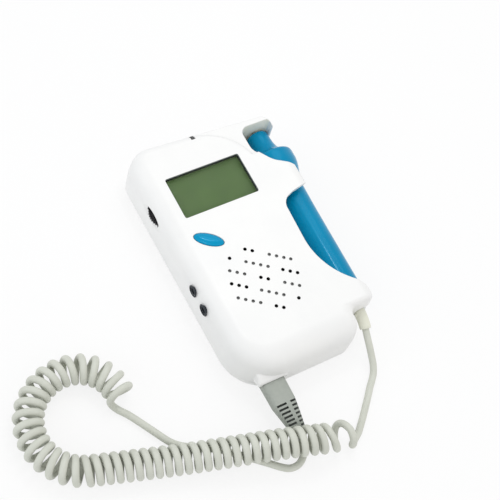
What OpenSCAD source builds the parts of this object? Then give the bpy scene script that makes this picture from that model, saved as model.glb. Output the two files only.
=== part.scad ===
// Pocket vascular doppler: a hand-held main unit with a docked pencil probe on a curly cord.
// Frame: X across the unit, Y along it towards the hook, Z out of the face. The unit lies on
// its back, and the origin is on the back face, in the middle of the unit.

/* [Main unit] */
// Width of the unit at its widest place, the clip in the middle of the cradle
body_w = 93; // [91:0.5:96]
// Length of the unit, from the plug end to the hook end
body_l = 148; // [146:0.5:152]
// Thickness of the unit
body_h = 33; // [32.5:0.25:35]
// Height of the line where the two half shells meet
parting_z = 9; // [8.5:0.25:10]
// Wall of the two half shells
wall = 2.2; // [1.8:0.1:2.4]
// Width of the soft roll between the face and the long left wall
roll_left = 10; // [7:0.5:11]
// Width of the soft roll between the face and the plug end
roll_end = 15; // [10:0.5:16]
// Width of the edge roll at the hook end
roll_top = 4; // [3:0.25:5]
// Radius of the edge round the back face
back_round = 6; // [4:0.5:6.5]
// How far the hook end falls away towards the hook
top_slope = 5.3; // [4:0.25:6.5]
// Depth of the step between the face and the hook
hook_step = 1.4; // [0.8:0.1:1.8]
// Gap between parts that only lie beside each other
gap = 0.3; // [0.2:0.05:0.4]

/* [Cradle and probe] */
// Distance of the probe's axis from the middle of the unit
probe_x = 37; // [36.5:0.1:37.5]
// Height of the probe's axis
probe_z = 16.6; // [16.4:0.1:16.8]
// Radius of the probe's grip beside the foot
grip_r = 8.2; // [7.5:0.1:8.6]
// Radius of the probe's grip below its collar
grip_top_r = 9.2; // [8.8:0.1:9.6]
// Radius of the probe's collar
collar_r = 13.9; // [13:0.1:14]
// Radius of the probe's nose
nose_r = 6.7; // [6.2:0.1:6.9]
// Radius of the acoustic face at the end of the nose
lens_r = 5.2; // [4.6:0.1:5.4]
// Thickness of the acoustic face
lens_t = 1.6; // [1.2:0.1:2]
// Length of the probe from its tail to its acoustic face
probe_l = 118; // [117.5:0.1:118.3]
// Radius of the probe's cord sleeve
sleeve_r = 3.3; // [3:0.1:3.4]
// Distance of the channel's straight wall from the middle of the unit
channel_x = 22.6; // [22.3:0.1:22.8]
// Thickness of the cradle's plate under the probe
cradle_floor = 2.2; // [2:0.1:2.3]
// Thickness of the clip over the probe
clip_t = 2.3; // [2:0.1:2.6]

/* [Display] */
// Width of the display opening
lcd_w = 46.4; // [44:0.2:48]
// Height of the display opening
lcd_h = 26.2; // [24:0.2:27]
// Distance of the display's middle from the middle of the unit, across
lcd_x = -9.3; // [-10:0.1:-8.5]
// Distance of the display's middle from the hook end
lcd_y = 36.7; // [36:0.1:37.5]
// Depth of the display window below the face
lcd_recess = 1.2; // [0.8:0.1:1.4]
// Thickness of the display window
window_t = 1.4; // [1:0.1:1.6]

/* [Speaker] */
// Distance of the speaker's middle from the middle of the unit, across
speaker_x = -9.5; // [-10:0.1:-9]
// Distance of the speaker's middle from the middle of the unit, along
speaker_y = -24.8; // [-25.5:0.1:-24]
// Outer radius of the speaker
speaker_r = 18; // [16:0.25:18.5]
// Diameter of a speaker hole
hole_d = 2; // [1.6:0.1:2.2]
// Distance between neighbouring holes of a row
hole_pitch = 4.1; // [3.8:0.05:4.3]
// Distance between the rows of holes
row_pitch = 7.45; // [7:0.05:7.8]
// Turn of the rows from the width of the unit
row_turn = -36.3; // [-40:0.1:-32]

/* [Controls] */
// Distance of the power button from the middle of the unit, across
button_x = -26.8; // [-27.5:0.1:-26]
// Distance of the power button from the hook end
button_y = 66.2; // [65.4:0.1:67]
// Half the length of the oval power button
button_a = 8.4; // [7.6:0.1:8.8]
// Half the width of the oval power button
button_b = 3.5; // [3.1:0.1:3.8]
// Travel of the power button
button_travel = 0.8; // [0.5:0.1:1]
// How far the power button stands out of the face
button_proud = 1.2; // [1:0.1:1.6]
// Outer radius of the volume wheel
wheel_r = 10; // [9.5:0.1:10.5]
// Thickness of the volume wheel
wheel_t = 2.4; // [2:0.1:2.6]
// Distance of the volume wheel from the hook end
wheel_y = 37.5; // [36.5:0.1:38.5]
// Length of the scoop in the wall round the volume wheel
scoop_l = 22; // [19:0.5:24]

/* [Sockets and plug] */
// Distance of the earphone socket from the middle of the unit, along
ear_y = -12.8; // [-13.5:0.1:-12]
// Distance of the recording socket from the middle of the unit, along
line_y = -25; // [-26:0.1:-24.5]
// Diameter of the ring round each small socket
ring_d = 7.4; // [6.8:0.1:7.8]
// Bore of each small socket
jack_bore = 3.6; // [3.55:0.05:3.7]
// Distance of the cord plug from the middle of the unit, across
plug_x = -27.5; // [-28:0.1:-27]
// Width of the plug's boot
boot_w = 13.8; // [13.2:0.1:14]
// Thickness of the plug's boot
boot_t = 8.2; // [7.6:0.1:8.4]
// Width of the clear plug
plug_w = 11.7; // [11.3:0.1:11.8]
// Thickness of the clear plug
plug_t = 6.5; // [6.1:0.1:6.6]

/* [Inside] */
// Diameter of a battery cell
cell_d = 14.5; // [14.2:0.1:14.5]
// Length of a battery cell
cell_l = 50.5; // [49.8:0.1:50.5]
// Thickness of the battery cover
cover_t = 2; // [1.6:0.1:2.1]
// Thickness of the main board
board_t = 1.6; // [1.2:0.1:1.6]
// Shank radius of a case screw
screw_r = 1.3; // [1.2:0.05:1.5]
// Head radius of a case screw
screw_head_r = 2.6; // [2.3:0.1:2.8]

/* [Cord] */
// Diameter of the cord
cord_d = 4; // [3.8:0.05:4]
// Outer diameter of the curls
curl_od = 16.8; // [16.4:0.1:17]

/* [Hidden] */

white = [0.93, 0.935, 0.925];
blue = [0.03, 0.56, 0.72];
cord_grey = [0.68, 0.71, 0.66];
board_green = [0.1, 0.38, 0.2];
metal = [0.78, 0.78, 0.76];
gold = [0.83, 0.66, 0.25];
dark = [0.12, 0.12, 0.13];

left_x = -body_w / 2;
right_x = body_w / 2;
low_y = -body_l / 2 + 0.3;
top_y = body_l / 2;
display_y = top_y - lcd_y;
button_mid_y = top_y - button_y;
wheel_mid_y = top_y - wheel_y;
eps = 0.02;

// Outline of the unit, anticlockwise from the corner by the plug: [x, y, corner radius], then
// the roll of the edge that starts at that corner: [width of the roll, its height]
foot_x = right_x - 18.2;
foot_y = low_y + 15.2;
foot_wall = 3.8;
outline = [[left_x + 1.5, low_y, 25], [foot_x, low_y, 9.5], [foot_x, foot_y, 3],
    [right_x - 1.7, foot_y, 5], [right_x - 0.9, top_y - top_slope, 6], [left_x, top_y + 0.5, 11]];
rolls = [[roll_end, 14], [8, 9], [3, 4], [8, 10], [roll_top, 4.5], [roll_left, 13]];
back_rolls = [[back_round, 7], [2.4, 3], [2, 2.5], [4, 4], [4, 5], [back_round, 7]];
corner_steps = [12, 8, 4, 5, 5, 9];
// Y of the hook end's edge at a place across the unit
function hook_edge(x) = top_y + 0.5 - (top_slope + 0.5) * (x - left_x) / (right_x - 0.9 - left_x);

// Turning a corner list into points
function unit(v) = v / norm(v);
function at(list, i) = list[(i + len(list)) % len(list)];
function xy(p) = [p[0], p[1]];
function cross2(a, b) = a[0] * b[1] - a[1] * b[0];
// Corner i of the outline with each edge moved inwards by its own amount
function moved_corner(c, ins, i) =
    let (a = xy(at(c, i - 1)), b = xy(c[i]), d = xy(at(c, i + 1)),
         u = unit(b - a), w = unit(d - b),
         p = a + at(ins, i - 1) * [-u[1], u[0]], q = b + ins[i] * [-w[1], w[0]])
    p + u * cross2(q - p, w) / cross2(u, w);
// Round corner b between its neighbours with radius r, in n steps
function corner_arc(a, b, d, r, n) =
    let (u = unit(a - b), w = unit(d - b), half = acos(u * w) / 2,
         side = cross2(b - a, d - b) > 0 ? 1 : -1,
         centre = b + unit(u + w) * r / sin(half),
         start = b + u * r / tan(half) - centre, turn = side * (180 - 2 * half))
    [for (k = [0:n]) let (t = turn * k / n)
        centre + [start[0] * cos(t) - start[1] * sin(t), start[0] * sin(t) + start[1] * cos(t)]];
function corner_radius(c, ins, i) =
    let (a = xy(at(c, i - 1)), b = xy(c[i]), d = xy(at(c, i + 1)), mean = (at(ins, i - 1) + ins[i]) / 2)
    cross2(b - a, d - b) > 0 ? max(c[i][2] - mean, 1.5) : c[i][2] + mean;
function outline_points(c, ins, steps) =
    let (m = [for (i = [0:len(c) - 1]) moved_corner(c, ins, i)])
    [for (i = [0:len(c) - 1])
        each corner_arc(at(m, i - 1), m[i], at(m, i + 1), corner_radius(c, ins, i), steps[i])];
// A flat outline with rounded corners, each given as [x, y, radius]
function rounded(c, steps = 6) =
    [for (i = [0:len(c) - 1]) each c[i][2] > 0
        ? corner_arc(xy(at(c, i - 1)), xy(c[i]), xy(at(c, i + 1)), c[i][2], steps)
        : [xy(c[i])]];
// A roll's inset at a distance below the plane where it ends
function roll_at(roll, below) =
    below >= roll[1] ? 0 : roll[0] * (1 - sqrt(max(0, 1 - pow(1 - below / roll[1], 2))));
// Its inset a tenth of a millimetre past that plane, in line with the last stretch of length d
function roll_past(roll, d) = roll[0] + (roll[0] - roll_at(roll, d)) * 0.1 / d;

// Solid between a stack of outlines that have the same number of points
module loft(layers) {
    n = len(layers[0]);
    m = len(layers);
    side = [for (k = [0:m - 2]) for (i = [0:n - 1])
        let (j = (i + 1) % n, a = k * n + i, b = k * n + j, c = a + n, d = b + n)
        each [[a, c, d], [a, d, b]]];
    polyhedron(points = [for (layer = layers) each layer],
        faces = concat([[for (i = [0:n - 1]) i]], side, [[for (i = [n - 1:-1:0]) (m - 1) * n + i]]));
}
function layer_at(c, ins, steps, z) = [for (p = outline_points(c, ins, steps)) [p[0], p[1], z]];

// Outer form of the unit in front of the parting line, and behind it
front_depths = [14, 10.5, 7.5, 5, 3.2, 1.9, 0.9, 0.3];
module slab(z, h) {
    translate([left_x - 20, low_y - 20, z]) cube([body_w + 40, body_l + 40, h]);
}
module front_form() {
    difference() {
        loft(concat([layer_at(outline, [0, 0, 0, 0, 0, 0], corner_steps, parting_z)],
            [for (d = front_depths) layer_at(outline, [for (r = rolls) roll_at(r, d)], corner_steps, body_h - d)],
            [layer_at(outline, [for (r = rolls) roll_past(r, 0.3)], corner_steps, body_h + 0.1)]));
        slab(body_h, 2);
    }
}
back_depths = [0.4, 1.3, 2.8, 4.8, 7];
module back_form() {
    difference() {
        loft(concat([layer_at(outline, [for (r = back_rolls) roll_past(r, 0.4)], corner_steps, -0.1)],
            [for (d = back_depths) layer_at(outline, [for (r = back_rolls) roll_at(r, d)], corner_steps, d)],
            [layer_at(outline, [0, 0, 0, 0, 0, 0], corner_steps, parting_z)]));
        slab(-2, 2);
    }
}

// Hollow of the unit: the outline beside the probe's channel, a wall inside the outer form
hollow_x = channel_x - wall;
hollow = [[left_x + 1.5, low_y, 25], [hollow_x + wall, low_y, 10], [hollow_x + wall, hook_edge(hollow_x + wall), 6],
    [left_x, top_y + 0.5, 11]];
hollow_rolls = [rolls[0], [2, 2], rolls[4], rolls[5]];
hollow_back = [back_rolls[0], [2, 2], back_rolls[4], back_rolls[5]];
hollow_steps = [7, 5, 4, 6];
face_in_z = body_h - wall - 0.2;
function hollow_layer(list, d, z) =
    layer_at(hollow, [for (r = list) roll_at(r, d) + wall], hollow_steps, z);
function hollow_past(list, z) = layer_at(hollow, [for (r = list) roll_past(r, 1) + wall], hollow_steps, z);
module front_hollow() {
    difference() {
        loft(concat([hollow_layer(hollow_rolls, 20, parting_z - eps)],
            [for (d = [12, 8, 5, 2.5, 1]) hollow_layer(hollow_rolls, d, face_in_z - d)],
            [hollow_past(hollow_rolls, face_in_z + 0.1)]));
        slab(face_in_z, 2);
    }
}
module back_hollow() {
    difference() {
        loft(concat([hollow_past(hollow_back, wall - 0.1)],
            [for (d = [1, 2.6, 4.6]) hollow_layer(hollow_back, d, wall + d)],
            [hollow_layer(hollow_back, 20, parting_z + eps)]));
        slab(wall - 2, 2);
    }
}

// The cradle: what is cut away for the probe
tail_y = low_y + 19.9;
probe_top_y = tail_y + probe_l;
hook_in_y = probe_top_y + 1;
clip_low_y = 18.5;
// The end of the hook's lip is round, and the probe's nose turns about it
lip = [right_x - 1.7, hook_in_y - 2.7];
lip_r = 0.9;
scoop_lower = [[right_x + 15, 27, 0], [right_x - 0.2, 27, 0], [right_x - 3.2, 19.3, 4.5],
    [32, 16.9, 12], [channel_x + 0.2, 13.6, 8], [channel_x + 0.2, -29, 42],
    [right_x - 8, -45.4, 0], [right_x + 15, -68.4, 0]];
scoop_upper = [[right_x + 15, lip[1] + 0.2, 0], [lip[0] - lip_r + 0.2, lip[1] + 0.2, 0], [right_x - 3.2, hook_in_y, 2.6],
    [channel_x - 0.3, hook_in_y, 5], [channel_x - 0.3, 49.3, 8], [31, 38, 14],
    [right_x - 3.5, 30.4, 0], [right_x + 15, 20.6, 0]];
channel_top_z = body_h - clip_t;
channel_room = collar_r + 0.4;
foot_room = grip_r + 0.6;
sleeve_room = sleeve_r + 0.5;
module along_y(y0, y1, r, x = probe_x, z = probe_z) {
    translate([x, y1, z]) rotate([90, 0, 0]) cylinder(h = y1 - y0, r = r, $fn = 64);
}
// A channel with a round bottom that is open to the side
module side_channel(y0, y1, r) {
    along_y(y0, y1, r);
    translate([probe_x, y0, probe_z - r]) cube([30, y1 - y0, 2 * r]);
}
module cradle_cut() {
    translate([0, 0, -1]) linear_extrude(body_h + 2) polygon(rounded(scoop_lower));
    translate([0, 0, cradle_floor]) difference() {
        linear_extrude(body_h) polygon(rounded(scoop_upper));
        translate([lip[0], lip[1], -1]) cylinder(h = body_h + 2, r = lip_r, $fn = 32);
    }
    // room under the clip
    translate([channel_x, 4, cradle_floor]) cube([40, 52, channel_top_z - cradle_floor]);
    side_channel(tail_y - 0.9, -20, foot_room);
    side_channel(foot_y - 1, tail_y, sleeve_room);
}
// The step down from the face to the hook, along an arc
swoosh_r = 31;
swoosh_c = [-8, top_y - 35.2];
module hook_step_cut() {
    translate([0, 0, body_h - hook_step]) linear_extrude(5) difference() {
        translate([swoosh_c[0], swoosh_c[1] + 8]) square([70, 40]);
        translate(swoosh_c) circle(r = swoosh_r, $fn = 96);
    }
}

// Places of the four case screws, the same in both shells
screw_places = [[left_x + 9.5, top_y - 14.5, 2.5], [hollow_x - 5.2, top_y - 13, 0.5], [left_x + 8.3, low_y + 30, 2.5],
    [hollow_x - 5.4, low_y + 12, 1.2]];
boss_r = 3.4;
screw_seat_z = 4.2;
screw_tip_z = 15;

// Battery bay behind the display, and the board in front of its roof
bay_x0 = lcd_x - lcd_w / 2 + 1.4;
bay_w = 2 * cell_d + 3;
bay_l = cell_l + 5.4;
bay_y0 = top_y - 7.6 - bay_l;
bay_top = cover_t + 0.3 + cell_d + 0.3;
bay_wall = 1.2;
board_z = bay_top + bay_wall + 0.5;
board_top = board_z + board_t;

// Sockets on the left wall; their bodies stand clear of its roll
jack_z = board_top + 2.9;
wall_in_x = left_x + wall;
jack_x0 = wall_in_x + roll_at(rolls[5], face_in_z - 2 * jack_z + board_top) + 1.5;
jack_x1 = left_x + 16.8;
jack_len = jack_x1 - jack_x0;
module along_x(x0, x1, y, z, r) {
    translate([x0, y, z]) rotate([0, 90, 0]) cylinder(h = x1 - x0, r = r, $fn = 48);
}

// Volume wheel
wheel_x = left_x - 0.4 + wheel_r;
wheel_z = board_top + 2.5;
wheel_top = wheel_z + wheel_t / 2;
scoop_depth = 2;
scoop_r = (scoop_l * scoop_l / 4 + scoop_depth * scoop_depth) / (2 * scoop_depth);
scoop_t = wheel_t + 2;
shaft_r = 2;

// Plug and its socket
plug_z = board_z - 5.6;
mouth_y = low_y - 0.9;
mouth_depth = 7.4;
socket_w = 14.2;
socket_h = 13.4;
socket_l = 20;
socket_back = mouth_y + mouth_depth + socket_l;
hood_x0 = plug_x - boot_w / 2 - 2.2;
hood_x1 = plug_x + boot_w / 2 + 2.2;

// Battery cover and its rails
cover_x0 = bay_x0 - 3;
cover_w = bay_w + 6;
cover_y0 = bay_y0 - 3.2;
cover_lip = 1.2;
tongue_t = 0.8;
rail_x0 = cover_x0 - cover_lip - 2;
rail_x1 = cover_x0 + cover_w + cover_lip + 2;

// The end of the cover follows the round of the back at the hook end
module cover_space(play) {
    translate([cover_x0 - play, cover_y0 - play, -1]) cube([cover_w + 2 * play, 90, cover_t + 1 + play / 2]);
}
module cover_tongues(play, l = bay_l - 4) {
    for (x = [cover_x0 - cover_lip, cover_x0 + cover_w])
        translate([x - play, cover_y0 + 4 - play, cover_t - tongue_t - play / 2])
            cube([cover_lip + 2 * play, l + 2 * play, tongue_t + play]);
}

module shell_boss(x, y, z0, z1) {
    translate([x, y, z0]) cylinder(h = z1 - z0, r = boss_r, $fn = 40);
}
// Places of the speaker holes: row number and the places along the row
hole_rows = [[-13, -8.9, 0.6, 4.7, 8.8, 12.7], [-20.5, -11.4, -7.3, -3.2, 0.9, 9.2, 13.3, 17.4],
    [-19.3, -15.2, -11.1, -2.1, 2, 11.2, 15.3, 19.4], [-17.2, -13.1, -9, -0.7, 3.4, 7.5, 11.6, 19.9],
    [-12.5, -8.4, -4.3, -0.2, 8.4, 12.5]];
open_holes = [[0, 1], [0, 5, 6, 7], [3, 4], [0, 1, 2, 7], [4, 5]];
function hole_place(i, k) =
    let (u = hole_rows[i][k] * hole_pitch / 4.1, v = (2 - i) * row_pitch)
    [speaker_x + u * cos(row_turn) - v * sin(row_turn), speaker_y + u * sin(row_turn) + v * cos(row_turn)];
module speaker_holes(open) {
    for (i = [0:4]) for (k = [0:len(hole_rows[i]) - 1])
        if ((len(search(k, open_holes[i])) > 0) == open)
            translate(hole_place(i, k)) circle(d = hole_d, $fn = 20);
}
module oval(a, b, z0, z1) {
    translate([button_x, button_mid_y, z0]) rotate([0, 0, row_turn])
        linear_extrude(z1 - z0) polygon([for (t = [0:10:350]) [a * cos(t), b * sin(t)]]);
}
dimple_depth = 0.8;
led_x = -5.2;
led_w = 2.6;
led_y0 = top_y - 6;
window_edge = 2.4;
window_top = body_h - lcd_recess;
window_z = window_top - window_t;
pane_w = lcd_w + 2 * window_edge;
pane_h = lcd_h + 2 * window_edge;

module front_shell() color(white) {
    difference() {
        union() {
            difference() {
                union() {
                    front_form();
                    // hood over the plug
                    hull() {
                        translate([hood_x0, mouth_y, plug_z + boot_t / 2 - 0.8])
                            cube([hood_x1 - hood_x0, 0.1, 1.9]);
                        translate([hood_x0 + 1, low_y + 6.2, parting_z + 1.5])
                            cube([hood_x1 - hood_x0 - 2, 0.1, plug_z + boot_t / 2 + 3 - parting_z]);
                    }
                }
                front_hollow();
            }
            for (p = screw_places)
                shell_boss(p[0], p[1], parting_z, face_in_z + 0.8 - p[2]);
            // ring that holds the speaker
            translate([speaker_x, speaker_y, face_in_z - 3]) difference() {
                cylinder(h = 3.4, r = speaker_r + gap + 1.2, $fn = 72);
                translate([0, 0, -1]) cylinder(h = 6, r = speaker_r + gap, $fn = 72);
            }
            // walls that carry the display window
            translate([lcd_x - pane_w / 2 - 1.4, display_y - pane_h / 2 - 1.4, window_z - 1])
                cube([pane_w + 2.8, pane_h + 2.8, face_in_z - window_z + 1.2]);
            // wall round the scoop of the volume wheel
            translate([left_x + 1, wheel_mid_y - scoop_l / 2, wheel_z - scoop_t / 2 - 1])
                cube([3, scoop_l, scoop_t + 2]);
            // sleeve that guides the power button
            oval(button_a + 1.5, button_b + 1.5, face_in_z - 1.6, face_in_z + 0.3);
        }
        cradle_cut();
        hook_step_cut();
        // display opening, and the seat of the window behind it
        translate([lcd_x - lcd_w / 2, display_y - lcd_h / 2, body_h - 6]) linear_extrude(10)
            polygon(rounded([[0, 0, 1.2], [lcd_w, 0, 1.2], [lcd_w, lcd_h, 1.2], [0, lcd_h, 1.2]], 4));
        translate([lcd_x - pane_w / 2, display_y - pane_h / 2, window_z - 8])
            cube([pane_w, pane_h, window_top - window_z + 8]);
        translate([0, 0, body_h - 8]) linear_extrude(10) speaker_holes(true);
        translate([0, 0, body_h - dimple_depth]) linear_extrude(5) speaker_holes(false);
        oval(button_a + gap, button_b + gap, face_in_z - 5, body_h + 1);
        // slot of the light pipe
        translate([led_x - led_w / 2, led_y0, body_h - 5]) cube([led_w, 3.3, 10]);
        // scoop and slot of the volume wheel
        translate([left_x - scoop_r + scoop_depth, wheel_mid_y, wheel_z - scoop_t / 2])
            cylinder(h = scoop_t, r = scoop_r, $fn = 120);
        translate([wheel_x, wheel_mid_y, wheel_z - wheel_t / 2 - gap])
            cylinder(h = wheel_t + 2 * gap, r = wheel_r + 0.5, $fn = 72);
        // small sockets: a shallow ring and the way in
        for (y = [ear_y, line_y]) {
            along_x(left_x - 2, left_x + 0.9, y, jack_z, ring_d / 2);
            along_x(left_x - 2, jack_x0 + 0.6, y, jack_z, 2.6);
        }
        // room for the plug's socket and its mouth
        translate([plug_x - socket_w / 2 - gap, mouth_y + mouth_depth, 0])
            cube([socket_w + 2 * gap, socket_l + 3, board_z + gap]);
        translate([plug_x - boot_w / 2 - 0.4, mouth_y - 1, plug_z - boot_t / 2 - 0.4])
            cube([boot_w + 0.8, mouth_depth + 2, boot_t + 0.8]);
        // screw holes
        for (p = screw_places)
            translate([p[0], p[1], parting_z - 1]) cylinder(h = screw_tip_z - parting_z + 2, r = screw_r + 0.05, $fn = 32);
    }
}

module back_shell() color(white) {
    difference() {
        union() {
            difference() {
                back_form();
                back_hollow();
            }
            // walls and roof of the battery bay
            translate([bay_x0 - bay_wall, bay_y0 - bay_wall, 0])
                cube([bay_w + 2 * bay_wall, bay_l + 2 * bay_wall, bay_top + bay_wall]);
            // rails that hold the battery cover
            translate([0, 0, 1]) linear_extrude(cover_t + 0.4)
                polygon([[rail_x0, cover_y0 - 1.2], [rail_x1, cover_y0 - 1.2], [rail_x1, hook_edge(rail_x1) - 2.2],
                    [rail_x0, hook_edge(rail_x0) - 2.8]]);
            for (p = screw_places)
                shell_boss(p[0], p[1], 0.5, parting_z);
        }
        cradle_cut();
        translate([bay_x0, bay_y0, -1]) cube([bay_w, bay_l, bay_top + 1]);
        cover_space(0.15);
        cover_tongues(0.15, 90);
        translate([plug_x - socket_w / 2 - gap, mouth_y + mouth_depth, board_z - socket_h - gap])
            cube([socket_w + 2 * gap, socket_l + 3, socket_h]);
        translate([plug_x - boot_w / 2 - 0.4, mouth_y - 1, plug_z - boot_t / 2 - 0.4])
            cube([boot_w + 0.8, mouth_depth + 2, boot_t + 0.8]);
        for (p = screw_places) {
            translate([p[0], p[1], -1]) cylinder(h = screw_seat_z + 1, r = screw_head_r + 0.3, $fn = 32);
            translate([p[0], p[1], 0]) cylinder(h = parting_z + 1, r = screw_r + 0.3, $fn = 32);
        }
    }
}

// The cover slides off over the hook end; its end carries on the round of the back
module battery_cover() color(white) {
    difference() {
        union() {
            intersection() {
                back_form();
                translate([cover_x0, cover_y0, -1]) cube([cover_w, 90, cover_t + 1]);
            }
            cover_tongues(0);
        }
        // grip grooves
        for (k = [0:4])
            translate([cover_x0 + cover_w / 2 - 7, cover_y0 + 5 + k * 2.4, -0.5]) cube([14, 1.1, 1]);
    }
}

module display_window() color([0.62, 0.7, 0.62, 0.5]) {
    translate([lcd_x - pane_w / 2 + 0.1, display_y - pane_h / 2 + 0.1, window_z])
        cube([pane_w - 0.2, pane_h - 0.2, window_t]);
}
gasket_t = 1;
module_h = min(3.4, window_z - gasket_t - wheel_top - gap);
module_z = window_z - gasket_t - module_h;
module display_gasket() color(dark) {
    translate([lcd_x, display_y, window_z - gasket_t]) difference() {
        translate([-lcd_w / 2 - 1.6, -lcd_h / 2 - 1.6, 0]) cube([lcd_w + 3.2, lcd_h + 3.2, gasket_t]);
        translate([-lcd_w / 2 - 0.2, -lcd_h / 2 - 0.2, -1]) cube([lcd_w + 0.4, lcd_h + 0.4, gasket_t + 2]);
    }
}
module display_module() color([0.44, 0.53, 0.36]) {
    translate([lcd_x - pane_w / 2 + 0.6, display_y - pane_h / 2 + 0.6, module_z]) {
        cube([pane_w - 1.2, pane_h - 1.2, module_h - 1.1]);
        translate([1.4, 1.4, 0]) cube([pane_w - 4, pane_h - 4, module_h]);
    }
}
// Frame that lifts the display off the board, clear of the volume wheel
module display_frame() color([0.9, 0.9, 0.88]) {
    x0 = wheel_x + wheel_r + 1;
    x1 = lcd_x + pane_w / 2 - 0.6;
    y0 = display_y - pane_h / 2 + 0.6;
    difference() {
        translate([x0, y0, board_top]) cube([x1 - x0, pane_h - 1.2, module_z - board_top]);
        translate([x0 + 1.6, y0 + 1.6, board_top - 1]) cube([x1 - x0 - 3.2, pane_h - 4.4, module_z - board_top + 2]);
    }
}

// The board's edges stand clear of the shell's rolls
board_x0 = left_x + wall + roll_at(rolls[5], face_in_z - board_top) + 1.565;
board_x1 = hollow_x - 1;
board_y0 = low_y + wall + roll_at(rolls[0], face_in_z - board_top) + 1.237;
board_outline = [[board_x0 + 1.5, board_y0, 22], [board_x1, board_y0, 8], [board_x1, top_y - 6.8, 4],
    [board_x0, top_y - 4.5, 12]];
module main_board() color(board_green) {
    difference() {
        translate([0, 0, board_z]) linear_extrude(board_t) difference() {
            polygon(rounded(board_outline));
            for (p = screw_places) translate([p[0], p[1]]) circle(r = boss_r + 0.4, $fn = 32);
        }
        // seats for the socket pins
        for (k = [0:7]) translate([plug_x - 3.57 + k * 1.02, socket_back - 5, board_z - 1])
            cylinder(h = 4, r = 0.3, $fn = 16);
    }
}
module chip(x, y, w, l, h) translate([x - w / 2, y - l / 2, board_top]) cube([w, l, h]);
module board_parts() color(dark) {
    chip(-2, display_y - 33.3, 12, 12, 1.6);
    chip(12, display_y - 38.3, 6, 9, 1.5);
    chip(-13, display_y - 35.3, 5, 6, 1.4);
    chip(12, display_y - 24.3, 5, 7, 1.4);
    chip(0, low_y + 23.7, 9, 7, 1.6);
    chip(-13, low_y + 20.7, 6, 5, 1.5);
    for (p = [[13, 28.7], [13, 20.7], [9, 13.7]])
        translate([p[0], low_y + p[1], board_top]) cylinder(h = 5.5, r = 2.5, $fn = 24);
    translate([-18, low_y + 9.7, board_top]) cylinder(h = 3.4, r = 2.4, $fn = 24);
}

speaker_t = 5;
cloth_t = 0.3;
module speaker() color([0.2, 0.2, 0.21]) {
    translate([speaker_x, speaker_y, face_in_z - cloth_t - speaker_t]) {
        rotate_extrude($fn = 72) polygon([[0, 0], [8, 0], [8, 1.4], [speaker_r - 1.5, 2.8],
            [speaker_r, 2.8], [speaker_r, speaker_t], [speaker_r - 2, speaker_t], [speaker_r - 3, 4.2],
            [5, 3], [4, 3.8], [0, 4.2]]);
    }
}
module speaker_cloth() color(dark) {
    translate([speaker_x, speaker_y, face_in_z - cloth_t]) cylinder(h = cloth_t, r = speaker_r, $fn = 72);
}

// Oval cap with a crown, a flange behind the face and a stem that presses the switch
button_top = body_h + button_proud;
flange_low_z = face_in_z - 3.4;
stem_l = 1.8;
stem_r = 2;
switch_h = flange_low_z - stem_l - board_top;
module power_button() color(blue) {
    layers = [[face_in_z - 2, 0], [body_h - 0.2, 0], [body_h + button_proud * 0.55, 0.15],
        [body_h + button_proud * 0.85, 0.7], [button_top, 1.9]];
    translate([button_x, button_mid_y, 0]) rotate([0, 0, row_turn])
        loft([for (l = layers) [for (t = [0:15:345])
            [(button_a - l[1]) * cos(t), (button_b - l[1]) * sin(t), l[0]]]]);
    translate([button_x, button_mid_y, 0]) {
        translate([0, 0, board_top + switch_h]) cylinder(h = face_in_z - 2 - board_top - switch_h + eps, r = stem_r, $fn = 32);
        rotate([0, 0, row_turn]) translate([-button_a - 1, -button_b - 1, flange_low_z])
            cube([2 * button_a + 2, 2 * button_b + 2, 1.4 + eps]);
    }
}
module button_switch() color(metal) {
    translate([button_x - 3, button_mid_y - 3, board_top]) cube([6, 6, switch_h - 1.6]);
    translate([button_x, button_mid_y, board_top]) cylinder(h = switch_h - button_travel - 0.1, r = 1.7, $fn = 24);
}
module light_pipe() color([0.85, 0.9, 0.85]) {
    pipe_w = led_w - 0.2;
    flange_z = face_in_z - 2.1;
    translate([led_x + pipe_w / 2, led_y0, 0]) rotate([90, 0, -90]) linear_extrude(pipe_w)
        polygon([[-0.1, flange_z], [-0.1, body_h - 0.8], [-1.4, body_h - 1], [-2.4, body_h - 1.6],
            [-3.2, body_h - 2.6], [-3.2, flange_z]]);
    translate([led_x - pipe_w / 2 - 1, led_y0 - 1.9, flange_z]) cube([pipe_w + 2, 1.8, 1]);
    translate([led_x - pipe_w / 2, led_y0 - 0.5, flange_z]) cube([pipe_w, 1, 1]);
    translate([led_x - pipe_w / 2, led_y0 - 1.9, board_top]) cube([pipe_w, 1.8, flange_z - board_top + eps]);
}

grip_ribs = 40;
module volume_wheel() color([0.42, 0.44, 0.45]) {
    translate([wheel_x, wheel_mid_y, wheel_z - wheel_t / 2]) difference() {
        union() {
            cylinder(h = wheel_t, r = wheel_r - 0.4, $fn = 80);
            for (k = [0:grip_ribs - 1]) rotate([0, 0, k * 360 / grip_ribs])
                translate([wheel_r - 0.8, -0.4, 0]) cube([0.8, 0.8, wheel_t]);
        }
        translate([0, 0, -1]) cylinder(h = wheel_t + 2, r = shaft_r + 0.05, $fn = 32);
    }
}
module volume_pot() color(metal) {
    pot_h = wheel_z - wheel_t / 2 - gap - board_top;
    translate([wheel_x - 5, wheel_mid_y - 5, board_top]) cube([10, 10, pot_h]);
    translate([wheel_x, wheel_mid_y, board_top]) cylinder(h = pot_h + wheel_t + gap, r = shaft_r, $fn = 32);
}

// A small round socket: body on the board and a nose that fills the hole in the wall
module small_socket(y) {
    difference() {
        union() {
            translate([jack_x0, y - 3.2, board_top]) cube([jack_len, 6.4, 2 * (jack_z - board_top)]);
            along_x(left_x + 0.9, jack_x0 + 1, y, jack_z, 2.5);
        }
        along_x(left_x - 1, jack_x0 + jack_len - 1.5, y, jack_z, jack_bore / 2);
    }
}
module earphone_socket() color(dark) small_socket(ear_y);
module recording_socket() color(dark) small_socket(line_y);

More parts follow.
